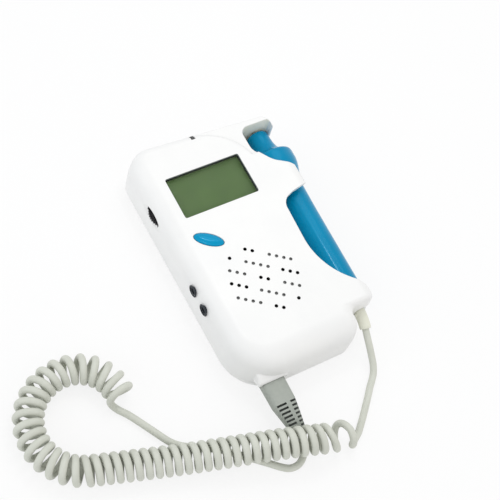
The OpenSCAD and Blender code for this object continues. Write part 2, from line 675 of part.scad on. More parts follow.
// Eight-way modular socket under the board, open to the plug end
cavity_l = 13.2;
module probe_socket() color([0.16, 0.16, 0.17]) {
    y0 = mouth_y + mouth_depth + 0.1;
    difference() {
        translate([plug_x - socket_w / 2, y0, board_z - socket_h]) cube([socket_w, socket_l, socket_h]);
        translate([plug_x - plug_w / 2 - 0.15, y0 - 1, plug_z - plug_t / 2 - 0.15])
            cube([plug_w + 0.3, cavity_l + 1, plug_t + 0.3]);
        // groove for the plug's catch
        translate([plug_x - 3.2, y0 - 1, plug_z - plug_t / 2 - 2.6]) cube([6.4, cavity_l + 1, 3]);
        // slots of the contact springs
        for (k = [0:7]) translate([plug_x - 3.57 + k * 1.02 - 0.3, y0 + 3, plug_z + plug_t / 2])
            cube([0.6, cavity_l - 3, 2]);
    }
}
module socket_pins() color(gold) {
    for (k = [0:7]) translate([plug_x - 3.57 + k * 1.02, socket_back - 5, board_z])
        cylinder(h = board_t + 0.8, r = 0.28, $fn = 16);
}

cell_z = cover_t + 0.3 + cell_d / 2;
cell_x = [bay_x0 + cell_d / 2 + 0.6, bay_x0 + bay_w - cell_d / 2 - 0.6];
// Each cell's nub meets one contact plate, and a spring presses on its flat end from the other
plate_t = 0.5;
nub_gap = 0.05;
nub_r = 2.6;
nub_l = 1.2;
cell_y = [bay_y0 + bay_l - plate_t - nub_gap - cell_l, bay_y0 + plate_t + nub_gap];
module battery_cells() color([0.3, 0.32, 0.36]) {
    for (i = [0:1]) translate([cell_x[i], 0, cell_z]) rotate([i == 0 ? -90 : 90, 0, 0])
        translate([0, 0, i == 0 ? cell_y[0] : -cell_y[1] - cell_l]) {
            cylinder(h = cell_l - nub_l, r = cell_d / 2, $fn = 48);
            cylinder(h = cell_l, r = nub_r, $fn = 32);
        }
}
// Conical contact springs, each one unbroken wound wire
spring_wire = 0.8;
spring_turns = 3;
spring_room = bay_l - 2 * plate_t - nub_gap - cell_l;
module spring_coil(r0, r1, h) {
    rings = 8 * spring_turns;
    sides = 6;
    function centre(k) = let (t = k / rings, r = r0 + (r1 - r0) * t, a = 360 * spring_turns * t)
        [r * cos(a), r * sin(a), spring_wire / 2 + (h - spring_wire) * t];
    function ring(k) = let (a = 360 * spring_turns * k / rings, out = [cos(a), sin(a), 0])
        [for (s = [0:sides - 1]) centre(k) + spring_wire / 2 * (out * cos(s * 60) + [0, 0, 1] * sin(s * 60))];
    polyhedron(points = [for (k = [0:rings]) each ring(k)],
        faces = concat([[for (s = [0:sides - 1]) s]],
            [for (k = [0:rings - 1]) for (s = [0:sides - 1])
                let (a = k * sides + s, b = k * sides + (s + 1) % sides, c = a + sides, d = b + sides)
                each [[a, c, d], [a, d, b]]],
            [[for (s = [sides - 1:-1:0]) rings * sides + s]]));
}
module battery_springs() color(metal) {
    translate([cell_x[0], bay_y0 + plate_t, cell_z]) rotate([-90, 0, 0]) spring_coil(5, 3, spring_room);
    translate([cell_x[1], bay_y0 + bay_l - plate_t, cell_z]) rotate([90, 0, 0]) spring_coil(5, 3, spring_room);
}
module battery_plates() color(metal) {
    for (y = [bay_y0, bay_y0 + bay_l - plate_t])
        translate([bay_x0 + 1.5, y, cover_t + 2]) cube([bay_w - 3, plate_t, cell_d - 3.5]);
}

module case_screws() color(metal) {
    for (p = screw_places) translate([p[0], p[1], 0]) {
        difference() {
            translate([0, 0, screw_seat_z - 1.8]) cylinder(h = 1.8, r = screw_head_r, $fn = 32);
            for (a = [0, 90]) rotate([0, 0, a]) translate([-1.7, -0.35, screw_seat_z - 2.4]) cube([3.4, 0.7, 1.5]);
        }
        translate([0, 0, screw_seat_z - 0.1]) cylinder(h = screw_tip_z - screw_seat_z, r = screw_r, $fn = 32);
    }
}

// The probe lies along Y; its sections are given as [radius, distance from the tail]
joint_l = 78;
shell_t = 1.8;
module probe_turned(profile) {
    translate([probe_x, tail_y, probe_z]) rotate([-90, 0, 0]) rotate_extrude($fn = 96) polygon(profile);
}
// Points of a smooth S between two radii
function blend_curve(y0, r0, y1, r1, n = 6) =
    [for (k = [1:n]) let (t = k / n) [r0 + (r1 - r0) * (1 - cos(180 * t)) / 2, y0 + (y1 - y0) * t]];
grip_outer = concat([[sleeve_r + 0.1, 0], [grip_r - 3, 0], [grip_r - 1.2, 1], [grip_r - 0.3, 3]],
    [[grip_r, 6], [grip_r + 0.25, 30], [grip_top_r - 0.4, 60], [grip_top_r, joint_l - 2]]);
nose_l = probe_l - 0.2;
nose_len = 19.4;
collar_l = nose_l - nose_len;
head_outer = concat([[grip_top_r, joint_l - 2]], blend_curve(joint_l - 2, grip_top_r, collar_l - 3, collar_r),
    [[collar_r + 0.02, collar_l], [collar_r - 0.2, collar_l + 1.6], [collar_r - 1.2, collar_l + 2.7],
     [collar_r - 3.2, collar_l + 3.4], [nose_r + 2.2, collar_l + 4.6], [nose_r + 0.7, collar_l + 7.6],
     [nose_r + 0.15, collar_l + 12], [nose_r, nose_l - 1.4], [nose_r - 0.3, nose_l - 0.5],
     [nose_r - 0.9, nose_l]]);
module probe_grip() color(blue) {
    probe_turned(concat(grip_outer, [[grip_top_r - shell_t + 0.9, joint_l - 2], [grip_top_r - shell_t + 0.9, joint_l + 2],
        [grip_top_r - shell_t - 0.2, joint_l + 2], [grip_top_r - shell_t - 0.2, joint_l - 4],
        [grip_r - shell_t, 12], [grip_r - shell_t, 6], [sleeve_r + 0.1, 6]]));
}
module probe_head() color(blue) {
    probe_turned(concat(head_outer, [[lens_r + 0.05, nose_l], [lens_r + 0.05, nose_l - lens_t], [lens_r - 0.6, nose_l - lens_t],
        [lens_r - 0.6, nose_l - 9.4], [nose_r, collar_l + 4], [collar_r - shell_t - 1, collar_l - 1],
        [grip_top_r - shell_t + 1, joint_l + 6], [grip_top_r - shell_t + 1, joint_l - 2]]));
}
module probe_lens() color([0.75, 0.76, 0.72]) {
    probe_turned([[0, nose_l - lens_t], [lens_r, nose_l - lens_t], [lens_r, nose_l - 0.2], [lens_r - 1.2, nose_l + 0.1],
        [0, nose_l + 0.2]]);
}
// Two half-round crystals, one that sends and one that listens
crystal_t = 0.5;
module probe_crystals() color([0.85, 0.8, 0.62]) {
    translate([probe_x, tail_y + nose_l - lens_t - crystal_t, probe_z]) rotate([-90, 0, 0]) difference() {
        cylinder(h = crystal_t, r = lens_r - 0.8, $fn = 48);
        translate([-10, -0.25, -1]) cube([20, 0.5, 3]);
    }
}
backing_l = 5;
module probe_backing() color([0.3, 0.3, 0.31]) {
    translate([probe_x, tail_y + nose_l - lens_t - crystal_t - backing_l, probe_z]) rotate([-90, 0, 0])
        cylinder(h = backing_l, r = lens_r - 0.65, $fn = 48);
}
module probe_board() color(board_green) {
    board_w = 2 * (grip_r - shell_t) - 1.2;
    translate([probe_x - board_w / 2, tail_y + 16, probe_z - 0.5])
        cube([board_w, nose_l - lens_t - crystal_t - backing_l - 16 - 14, 1]);
    translate([probe_x - 3, tail_y + nose_l - lens_t - crystal_t - backing_l - 14.1, probe_z - 0.5])
        cube([6, 14.1, 1]);
    translate([probe_x - 3, tail_y + 26, probe_z + 0.45]) cube([6, 8, 1.6]);
    translate([probe_x - 2, tail_y + 44, probe_z + 0.45]) cube([4, 5, 1.4]);
}

// Cord sleeve of the probe: a straight length and then a gentle bend towards the table
sleeve_straight = 2.4;
sleeve_bend_r = 30;
sleeve_turn = 24;
sleeve_lean = 25;
sleeve_drop = sleeve_bend_r * (1 - cos(sleeve_turn));
sleeve_end = [probe_x - sleeve_drop * sin(sleeve_lean),
    tail_y - sleeve_straight - sleeve_bend_r * sin(sleeve_turn), probe_z - sleeve_drop * cos(sleeve_lean)];
sleeve_dir = [-sin(sleeve_turn) * sin(sleeve_lean), -cos(sleeve_turn), -sin(sleeve_turn) * cos(sleeve_lean)];
module probe_sleeve() color([0.8, 0.81, 0.73]) {
    flange_r = sleeve_r + 1;
    along_y(tail_y - sleeve_straight, tail_y + 6, sleeve_r);
    along_y(tail_y + 6.1, tail_y + 8, flange_r);
    along_y(tail_y + 5.9, tail_y + 6.2, sleeve_r);
    translate([probe_x, tail_y - sleeve_straight, probe_z]) rotate([0, sleeve_lean, 0])
        translate([0, 0, -sleeve_bend_r]) rotate([180, -90, 0])
        rotate_extrude(angle = sleeve_turn, $fn = 180) translate([sleeve_bend_r, 0]) circle(r = sleeve_r, $fn = 32);
}

plug_front = mouth_y + mouth_depth + cavity_l - 0.3;
plug_back = mouth_y;
module plug_body() color([0.82, 0.84, 0.84, 0.6]) {
    difference() {
        union() {
            translate([plug_x - plug_w / 2, plug_back, plug_z - plug_t / 2])
                cube([plug_w, plug_front - plug_back, plug_t]);
            // catch under the plug
            translate([plug_x - 3, mouth_y + mouth_depth + 2, plug_z - plug_t / 2 - 1.6]) cube([6, cavity_l - 3, 1.7]);
        }
        // slots over the contacts
        for (k = [0:7]) translate([plug_x - 3.57 + k * 1.02 - 0.3, plug_front - 4, plug_z + plug_t / 2 - 1.6])
            cube([0.6, 5, 2]);
        // way in for the cord
        along_y(plug_back - 1, plug_front - 6, cord_d / 2 + 0.1, plug_x, plug_z);
    }
}
module plug_contacts() color(gold) {
    for (k = [0:7]) translate([plug_x - 3.57 + k * 1.02 - 0.25, plug_front - 4, plug_z + plug_t / 2 - 1.6])
        cube([0.5, 3.6, 1.4]);
}

// Soft boot: a square sleeve over the plug, then a slotted tail that droops to the table
boot_y0 = mouth_y + mouth_depth - 0.3;
boot_bend_y = -87;
boot_bend_r = 26;
boot_turn = 33;
boot_swing = 0.35;
boot_tail_w = 9;
boot_tail_t = 6.2;
// Middle of the tail at an angle of its bend, and the direction across its thickness
function boot_centre(a) = let (drop = boot_bend_r * (1 - cos(a)))
    [plug_x + boot_swing * drop, boot_bend_y - boot_bend_r * sin(a), plug_z - drop];
function boot_up(a) = [0, -sin(a), cos(a)];
boot_tip = boot_centre(boot_turn);
module boot_section(c, up, w, t, round) {
    corner = [[w / 2 - round, t / 2], [w / 2, t / 2 - round], [w / 2, -t / 2 + round], [w / 2 - round, -t / 2],
        [-w / 2 + round, -t / 2], [-w / 2, -t / 2 + round], [-w / 2, t / 2 - round], [-w / 2 + round, t / 2]];
    along = [0, up[2], -up[1]];
    polyhedron(points = concat([for (p = corner) c + [p[0], 0, 0] + up * p[1]],
            [for (p = corner) c + [p[0], 0, 0] + up * p[1] + along * 0.05]),
        faces = concat([[7, 6, 5, 4, 3, 2, 1, 0]], [[8, 9, 10, 11, 12, 13, 14, 15]],
            [for (i = [0:7]) [i, (i + 1) % 8, 8 + (i + 1) % 8, 8 + i]]));
}
boot_steps = 4;
boot_mid_w = boot_w - 0.6;
boot_mid_t = boot_t - 0.3;
module boot_step(f) {
    a = boot_turn * f;
    boot_section(boot_centre(a), boot_up(a), boot_mid_w + (boot_tail_w - boot_mid_w) * f,
        boot_mid_t + (boot_tail_t - boot_mid_t) * f, 1.4 + 0.4 * f);
}
boot_slots = 7;
module plug_boot() color([0.55, 0.59, 0.54]) {
    difference() {
        union() {
            hull() {
                boot_section([plug_x, boot_y0 - 0.05, plug_z], [0, 0, 1], boot_w, boot_t, 1.2);
                boot_step(0);
            }
            for (k = [0:boot_steps - 1]) hull() {
                boot_step(k / boot_steps);
                boot_step((k + 1) / boot_steps);
            }
        }
        // room for the plug
        translate([plug_x - plug_w / 2 - 0.1, plug_back - 0.1, plug_z - plug_t / 2 - 0.1])
            cube([plug_w + 0.2, 30, plug_t + 0.2]);
        // slots of the tail, in two rows on its back and one in each side
        for (k = [0:boot_slots - 1]) let (f = (k + 0.6) / (boot_slots + 0.4), a = boot_turn * f,
                w = boot_mid_w + (boot_tail_w - boot_mid_w) * f)
            translate(boot_centre(a)) rotate([a, 0, 0]) {
                translate([-w / 2 + 1, -0.5, cord_d / 2 + 0.5]) cube([w * 0.42, 1, 5]);
                translate([w / 2 - w * 0.3, -0.5, cord_d / 2 + 0.5]) cube([w, 1, 5]);
                translate([w / 2 - 1.5, -0.5, -1.6]) cube([4, 1, 3]);
            }
    }
}

// The cord lies on the table. Its straight stretches follow these places
plug_route = [boot_tip, boot_tip + 2.6 * [0, -cos(boot_turn), -sin(boot_turn)], [-25.8, -107, 5],
    [-26.1, -110.6, 3.3], [-28.4, -115.1, 2.4], [-32.7, -117.8, 2.1], [-37.8, -117.6, 2.1],
    [-42.1, -114.8, 2.1], [-45.8, -111.4, 2.1], [-49.6, -108, 2.1], [-55.4, -102.8, 2.1], [-61, -97.8, 2.1], [-66.8, -93.1, 2.1],
    [-73, -89, 2.1], [-79.4, -85.6, 2.1], [-85, -82, 2.1], [-89.1, -78, 2.1], [-92.2, -73, 2.1],
    [-95.4, -67.4, 2.1], [-98.6, -61.9, 2.1], [-100.9, -58, 2.1]];
probe_route = [sleeve_end, sleeve_end + 3.5 * sleeve_dir, [34.7, -77, 10], [34.3, -82.2, 6.4], [33.6, -86.4, 4],
    [31.7, -90.4, 2.6], [28.9, -93.6, 2.2], [26, -96.4, 2.1], [22, -100.7, 2.1], [17.5, -105.4, 2.1],
    [13, -110, 2.1], [9.8, -113.1, 2.1]];

// Smooth curve through the places of a route, as rings of a tube
function spline_at(p, i, t) =
    let (a = p[max(i - 1, 0)], b = p[i], c = p[i + 1], d = p[min(i + 2, len(p) - 1)])
    0.5 * (2 * b + (c - a) * t + (2 * a - 5 * b + 4 * c - d) * t * t + (3 * b - a - 3 * c + d) * t * t * t);
function route_points(p, n) = concat([for (i = [0:len(p) - 2]) for (k = [0:n - 1]) spline_at(p, i, k / n)],
    [p[len(p) - 1]]);
// Tube of one unbroken skin along points, square to them, with its ends facing first and last
module tube(points, r, sides, first, last) {
    n = len(points);
    function along(i) = i == 0 ? unit(first) : i == n - 1 ? unit(last) : unit(points[i + 1] - points[i - 1]);
    function ring(i) = let (t = along(i), u = unit(cross([0, 0, 1], t) + [0.0001, 0, 0]), v = cross(t, u))
        [for (s = [0:sides - 1]) points[i] + r * (u * cos(360 * s / sides) + v * sin(360 * s / sides))];
    polyhedron(points = [for (i = [0:n - 1]) each ring(i)],
        faces = concat([[for (s = [sides - 1:-1:0]) s]],
            [for (i = [0:n - 2]) for (s = [0:sides - 1])
                let (a = i * sides + s, b = i * sides + (s + 1) % sides, c = a + sides, d = b + sides)
                each [[a, b, d], [a, d, c]]],
            [[for (s = [0:sides - 1]) (n - 1) * sides + s]]));
}

// The curly stretch: its axis is a chain of arcs and straights, each [length, turn, curls]
curl_start = [-103, -46.2];
curl_heading = 94;
curl_chain = [[3.5, 0, 0.6], [30.6, 78, 4.9], [82, 170, 14], [113.8, 0, 22.5], [12.5, 9, 2.25], [12.5, 3, 1],
    [0.5, 0, 0.25]];
curl_r = (curl_od - cord_d) / 2;
curl_floor = cord_d / 2 + curl_r + 0.05;
// The curls ride over the plug's lead in one long low hump
hump_at = 230;
hump_before = 80;
hump_h = 7.1;
function hump(s) = let (u = (s - hump_at) / (s < hump_at ? hump_before : curl_length - hump_at))
    abs(u) < 1 ? hump_h * pow(cos(90 * u), 2) : 0;
// Sum of one column of the chain up to row i
function chain_sum(i, col) = i <= 0 ? 0 : chain_sum(i - 1, col) + curl_chain[i - 1][col];
// End of a stretch that starts at p with heading h, turns by t over length l
function stretch_end(p, h, l, t) = t == 0 ? p + l * [cos(h), sin(h)]
    : let (r = l / (t * PI / 180)) p + r * [sin(h + t) - sin(h), cos(h) - cos(h + t)];
function chain_start(i) = i == 0 ? curl_start
    : stretch_end(chain_start(i - 1), curl_heading + chain_sum(i - 1, 1), curl_chain[i - 1][0], curl_chain[i - 1][1]);
curl_length = chain_sum(len(curl_chain), 0);
chain_starts = [for (i = [0:len(curl_chain) - 1]) chain_start(i)];
function chain_row(c, i = 0) = i == len(curl_chain) - 1 || c < chain_sum(i + 1, 2) ? i : chain_row(c, i + 1);
// Centre of the wire after a number of curls; it starts at the left of its way and rises
function curl_point(c) =
    let (i = chain_row(c), f = (c - chain_sum(i, 2)) / curl_chain[i][2], row = curl_chain[i],
         h0 = curl_heading + chain_sum(i, 1), h = h0 + row[1] * f,
         mid = stretch_end(chain_starts[i], h0, row[0] * f, row[1] * f),
         s = chain_sum(i, 0) + row[0] * f, a = 90 + 360 * c)
    [mid[0] - curl_r * sin(a) * sin(h), mid[1] + curl_r * sin(a) * cos(h), curl_floor + hump(s) - curl_r * cos(a)];
curls = chain_sum(len(curl_chain), 2);
curl_points = [for (k = [0:8 * curls]) curl_point(k / 8)];
// The wire swings down to the table at both ends, with a straight end
start_dir = [-0.62, 0.78, 0];
end_dir = [0.85, 0.53, 0];
curl_first = curl_points[0];
curl_last = curl_points[len(curl_points) - 1];
lead_in = [for (a = [90, 60, 30])
    [curl_first[0], curl_first[1], curl_floor] - unit(start_dir) * curl_r * (1 - cos(a)) - [0, 0, 1] * curl_r * sin(a)];
lead_out = [for (a = [30, 60, 90])
    [curl_last[0], curl_last[1], curl_floor] + unit(end_dir) * curl_r * (1 - cos(a)) - [0, 0, 1] * curl_r * sin(a)];
curly_path = concat([lead_in[0] - unit(start_dir) * cord_d], lead_in, curl_points, lead_out,
    [lead_out[2] + unit(end_dir) * cord_d]);
// Least distance of the wire's middle from itself, half a curl or more apart, less its diameter
self_gap = min([for (i = [0:len(curly_path) - 6]) for (j = [i + 5:min(i + 13, len(curly_path) - 1)])
    norm(curly_path[i] - curly_path[j])]) - cord_d;
plug_lead_points = route_points(concat(plug_route, [curly_path[0]]), 2);
probe_lead_points = route_points(concat(probe_route, [curly_path[len(curly_path) - 1]]), 2);
function lead_gap(points, i0, i1) =
    min([for (i = [i0:i1]) for (q = curly_path) norm(points[i] - q)]) - cord_d;
echo(curly_cord_self_gap = self_gap);
echo(plug_lead_gap = lead_gap(plug_lead_points, 0, len(plug_lead_points) - 5),
    probe_lead_gap = lead_gap(probe_lead_points, 0, len(probe_lead_points) - 4));

module plug_lead() color(cord_grey) {
    tube(plug_lead_points, cord_d / 2, 8, [0, -cos(boot_turn), -sin(boot_turn)], start_dir);
}
module curly_cord() color(cord_grey) {
    tube(curly_path, cord_d / 2, 6, start_dir, end_dir);
}
module probe_lead() color(cord_grey) {
    tube(probe_lead_points, cord_d / 2, 8, sleeve_dir, -end_dir);
}

front_shell();
back_shell();
battery_cover();
display_window();
display_gasket();
display_module();
display_frame();
main_board();
board_parts();
speaker();
speaker_cloth();
power_button();
button_switch();
light_pipe();
volume_wheel();
volume_pot();
earphone_socket();
recording_socket();
probe_socket();
socket_pins();
battery_cells();
battery_springs();
battery_plates();
case_screws();
probe_grip();
probe_head();
probe_lens();
probe_crystals();
probe_backing();
probe_board();
probe_sleeve();
plug_body();
plug_contacts();
plug_boot();
plug_lead();
curly_cord();
probe_lead();
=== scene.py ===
import math

import bmesh
import bpy
import numpy as np
from mathutils import Matrix, Vector


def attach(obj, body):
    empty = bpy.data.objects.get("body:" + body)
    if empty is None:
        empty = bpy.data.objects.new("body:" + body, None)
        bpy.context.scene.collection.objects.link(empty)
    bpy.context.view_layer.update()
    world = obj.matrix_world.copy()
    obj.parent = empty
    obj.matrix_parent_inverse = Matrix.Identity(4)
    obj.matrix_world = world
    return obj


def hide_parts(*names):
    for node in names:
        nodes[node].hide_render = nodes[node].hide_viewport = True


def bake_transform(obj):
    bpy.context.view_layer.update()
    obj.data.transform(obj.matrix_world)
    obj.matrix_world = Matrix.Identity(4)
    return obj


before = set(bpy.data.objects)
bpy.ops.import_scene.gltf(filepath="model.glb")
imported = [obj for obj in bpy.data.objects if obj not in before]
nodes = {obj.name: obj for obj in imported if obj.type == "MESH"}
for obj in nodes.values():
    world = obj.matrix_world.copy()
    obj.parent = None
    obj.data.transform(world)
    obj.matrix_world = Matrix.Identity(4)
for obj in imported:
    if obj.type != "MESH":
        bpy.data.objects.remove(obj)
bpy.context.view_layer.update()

MM = 0.001
X, Y, Z = np.eye(3)

# Sizes in millimetres, the same as in the part's drawing
body_w, body_l, body_h = 93.0, 148.0, 33.0
parting_z, wall, gap = 9.0, 2.2, 0.3
probe_x, probe_z = 37.0, 16.6
grip_r, grip_top_r, collar_r, nose_r = 8.2, 9.2, 13.9, 6.7
lens_r, lens_t, probe_l, sleeve_r = 5.2, 1.6, 118.0, 3.3
channel_x, cradle_floor, clip_t, clip_y0, clip_y1 = 22.6, 2.2, 2.3, 4, 56
lcd_w, lcd_h, lcd_x, lcd_y = 46.4, 26.2, -9.3, 37.3
lcd_recess, window_t, lamp_x0, lamp_x1 = 1.2, 1.4, -6.5, -3.9
speaker_x, speaker_y = -9.5, -24.8
hole_d, row_pitch = 2.0, 7.45
face_turn = math.radians(-36.3)
button_x, button_y, button_a, button_b = -26.8, 7.8, 8.4, 3.5
wheel_r, wheel_t, wheel_y, wheel_bore_r, scoop_l = 10.0, 2.4, 36.5, 2.05, 22.0
ear_y, line_y, ring_d = -12.8, -25.0, 7.4
plug_x, boot_w, boot_t, plug_w, plug_t = -27.5, 13.8, 8.2, 11.7, 6.5
cell_d, cell_l, cover_t, board_t = 14.5, 50.5, 2.0, 1.6
screw_r, screw_head_r, boss_r = 1.3, 2.6, 3.4
cord_d, curl_od = 4.0, 16.8
contact_pitch, contacts = 1.02, 8

left_x, right_x = -body_w / 2, body_w / 2
low_y, top_y = -body_l / 2 + 0.3, body_l / 2
face_in_z = body_h - wall - 0.2
foot_x, foot_y = right_x - 18.2, low_y + 15.2
# Each corner is (x, y, radius), and each roll (width, height) belongs to the edge after it
outline = [(left_x + 1.5, low_y, 25), (foot_x, low_y, 9.5), (foot_x, foot_y, 3),
           (right_x - 1.7, foot_y, 5), (right_x - 0.9, top_y - 5.3, 6), (left_x, top_y + 0.5, 11)]
rolls = [(15, 14), (8, 9), (3, 4), (8, 10), (4, 4.5), (10, 13)]
back_rolls = [(6, 7), (2.4, 3), (2, 2.5), (4, 4), (4, 5), (6, 7)]
tail_y = low_y + 19.9
hook_in_y = tail_y + probe_l + 1
board_z = 18.8
board_top = board_z + board_t
jack_z, jack_x0 = board_top + 2.9, left_x + 6.2
wheel_x, wheel_z = left_x - 0.4 + wheel_r, board_top + 2.5
plug_z = board_z - 5.6
mouth_y, mouth_depth = low_y - 0.9, 7.4
mouth_end = mouth_y + mouth_depth
bay_x0, bay_w, bay_l = lcd_x - lcd_w / 2 + 1.4, 2 * cell_d + 3, cell_l + 5.4
bay_y0 = top_y - 7.6 - bay_l
bay_top, bay_wall = cover_t + 0.6 + cell_d, 1.2
cover_x0, cover_w, cover_y0 = bay_x0 - 3, bay_w + 6, bay_y0 - 3.2
pane_w, pane_h = lcd_w + 4.8, lcd_h + 4.8
window_top = body_h - lcd_recess
window_z = window_top - window_t
hollow_x = channel_x - wall
screw_places = [(left_x + 9.5, top_y - 14.5), (hollow_x - 5.2, top_y - 13),
                (left_x + 8.3, low_y + 30), (hollow_x - 5.4, low_y + 12)]


# Outlines
def unit(v):
    """The direction of a vector."""
    return v / np.linalg.norm(v)


def cross2(a, b):
    """The third part of the cross product of two flat vectors."""
    return a[0] * b[1] - a[1] * b[0]


def corner_arc(a, b, d, radius, steps):
    """Round corner b between its neighbours a and d."""
    u, w = unit(a - b), unit(d - b)
    half = math.acos(float(np.clip(u @ w, -1, 1))) / 2
    side = 1 if cross2(b - a, d - b) > 0 else -1
    centre = b + unit(u + w) * radius / math.sin(half)
    start = b + u * radius / math.tan(half) - centre
    turns = [side * (math.pi - 2 * half) * k / steps for k in range(steps + 1)]
    return [centre + np.array([start[0] * math.cos(t) - start[1] * math.sin(t),
                               start[0] * math.sin(t) + start[1] * math.cos(t)]) for t in turns]


def outline_points(corners, insets, steps):
    """The outline with each edge moved inwards by its own inset and its corners rounded."""
    n = len(corners)
    flat = [np.array(c[:2], float) for c in corners]
    moved, radii, convex, slopes = [], [], [], []
    for i in range(n):
        a, b, d = flat[i - 1], flat[i], flat[(i + 1) % n]
        u, w = unit(b - a), unit(d - b)
        p = a + insets[i - 1] * np.array([-u[1], u[0]])
        q = b + insets[i] * np.array([-w[1], w[0]])
        moved.append(p + u * cross2(q - p, w) / cross2(u, w))
        mean = (insets[i - 1] + insets[i]) / 2
        convex.append(cross2(b - a, d - b) > 0)
        radii.append(max(corners[i][2] - mean, 1.5) if convex[i] else corners[i][2] + mean)
        slopes.append(math.tan(math.acos(float(-u @ w)) / 2))
    points = []
    for i in range(n):
        before, after, j = moved[i - 1], moved[(i + 1) % n], (i + 1) % n
        if not convex[i]:
            # a hollow corner keeps clear of the rounds on both sides of it
            room = min(np.linalg.norm(moved[i] - before) - radii[i - 1] / slopes[i - 1],
                       np.linalg.norm(after - moved[i]) - radii[j] / slopes[j])
            radii[i] = min(radii[i], max(0.3, 0.96 * room * slopes[i]))
        points += corner_arc(before, moved[i], after, radii[i], steps[i])
    return points


def rounded(corners, steps=16):
    """A flat outline with rounded corners, each given as (x, y, radius)."""
    flat = [np.array(c[:2], float) for c in corners]
    points = []
    for i, corner in enumerate(corners):
        if corner[2] > 0:
            points += corner_arc(flat[i - 1], flat[i], flat[(i + 1) % len(flat)], corner[2], steps)
        else:
            points.append(flat[i])
    return points


def rounded_box(x0, x1, y0, y1, radius, steps):
    """A flat rectangle with four equal rounds."""
    return rounded([(x0, y0, radius), (x1, y0, radius), (x1, y1, radius), (x0, y1, radius)], steps)


def roll_at(roll, below):
    """A roll's inset at a distance below the plane where it ends."""
    width, height = roll
    return 0 if below >= height else width * (1 - math.sqrt(max(0, 1 - (1 - below / height) ** 2)))


def full_turn(sides):
    """The angles once round."""
    return np.linspace(0, 2 * math.pi, sides, endpoint=False)


def ring_points(x, y, radius, sides=48):
    """A flat circle."""
    return [(x + radius * math.cos(t), y + radius * math.sin(t)) for t in full_turn(sides)]


def circle(centre, side, up, radius, sides):
    """A circle in space, in the plane of two directions."""
    return [tuple(centre + radius * (side * math.cos(t) + up * math.sin(t)))
            for t in full_turn(sides)]


def on_face(x, y, u, v):
    """A place on the face, from a middle and two distances along the turned rows."""
    return (x + u * math.cos(face_turn) - v * math.sin(face_turn),
            y + u * math.sin(face_turn) + v * math.cos(face_turn))


# Meshes, made in millimetres and kept in metres
def piece(name, points, faces=()):
    """A mesh object with its place in its mesh."""
    mesh = bpy.data.meshes.new(name)
    mesh.from_pydata([tuple(float(c) * MM for c in p) for p in points], [], list(faces))
    mesh.update()
    thing = bpy.data.objects.new(name, mesh)
    bpy.context.scene.collection.objects.link(thing)
    return thing


def face_outwards(thing, merge=1e-7):
    """Merge what coincides, then turn every face outwards."""
    form = bmesh.new()
    form.from_mesh(thing.data)
    bmesh.ops.remove_doubles(form, verts=form.verts, dist=merge)
    bmesh.ops.recalc_face_normals(form, faces=form.faces)
    form.to_mesh(thing.data)
    form.free()
    return thing


def skin(rings, closed=False, merge=1e-7, name="skin", ends=()):
    """Quads from ring to ring, and from the last ring to the first where closed."""
    m, n = len(rings), len(rings[0])
    faces = list(ends)
    for k in range(m if closed else m - 1):
        one, two = k * n, (k + 1) % m * n
        faces += [(one + i, one + (i + 1) % n, two + (i + 1) % n, two + i) for i in range(n)]
    return face_outwards(piece(name, [p for ring in rings for p in ring], faces), merge)


def loft(name, layers):
    """A closed solid through rings that have the same number of points."""
    n, last = len(layers[0]), (len(layers) - 1) * len(layers[0])
    caps = [tuple(range(n - 1, -1, -1)), tuple(last + i for i in range(n))]
    return skin(layers, name=name, ends=caps)


def flat_layer(points, z):
    """A flat outline at a height."""
    return [(p[0], p[1], z) for p in points]


def prism(name, points, z0, z1):
    """An upright solid on a flat outline."""
    return loft(name, [flat_layer(points, z0), flat_layer(points, z1)])


def block(name, x0, x1, y0, y1, z0, z1):
    """A box between its sides."""
    return prism(name, [(x0, y0), (x1, y0), (x1, y1), (x0, y1)], z0, z1)


def block_at(name, x, y, half_x, half_y, z0, z1):
    """A box round an upright axis."""
    return block(name, x - half_x, x + half_x, y - half_y, y + half_y, z0, z1)


def rod(name, start, end, radius, sides=48):
    """A round bar between two places."""
    start, end = np.array(start, float), np.array(end, float)
    along = unit(end - start)
    side = unit(np.cross(along, Z if abs(along[2]) < 0.9 else X))
    up = np.cross(along, side)
    return loft(name, [circle(c, side, up, radius, sides) for c in (start, end)])


def spun(name, profile, sides=96):
    """A piece turned on the probe's axis from (radius, distance from the tail)."""
    rings = [circle(np.array([probe_x, tail_y + y, probe_z]), X, Z, r, sides) for r, y in profile]
    on_axis = profile[0][0] == 0
    return skin(rings, closed=not on_axis, merge=2e-6, name=name)


def smooth_profile(points, steps=6):
    """More points on a turned profile, along a curve that never overshoots its radii."""
    r, y = np.array(points, float).T
    slope = np.diff(r) / np.diff(y)
    inner = [0 if a * b <= 0 else 2 * a * b / (a + b) for a, b in zip(slope, slope[1:])]
    tangent = [slope[0], *inner, slope[-1]]
    out = []
    for i in range(len(points) - 1):
        h = y[i + 1] - y[i]
        for t in np.arange(steps) / steps:
            radius = (r[i] * (2 * t ** 3 - 3 * t ** 2 + 1) + r[i + 1] * (3 * t ** 2 - 2 * t ** 3)
                      + h * tangent[i] * (t ** 3 - 2 * t ** 2 + t)
                      + h * tangent[i + 1] * (t ** 3 - t ** 2))
            out.append((radius, y[i] + h * t))
    return out + [points[-1]]


def tube(name, path, radii, sides):
    """One unbroken skin along a path, turned as little as possible from ring to ring."""
    path = np.array(path, float)
    along = np.gradient(path, axis=0)
    side = unit(np.cross(unit(along[0]), Z))
    rings = []
    for centre, way, radius in zip(path, along, radii):
        t = unit(way)
        side = unit(side - t * (side @ t))
        rings.append(circle(centre, side, np.cross(t, side), radius, sides))
    return loft(name, rings)


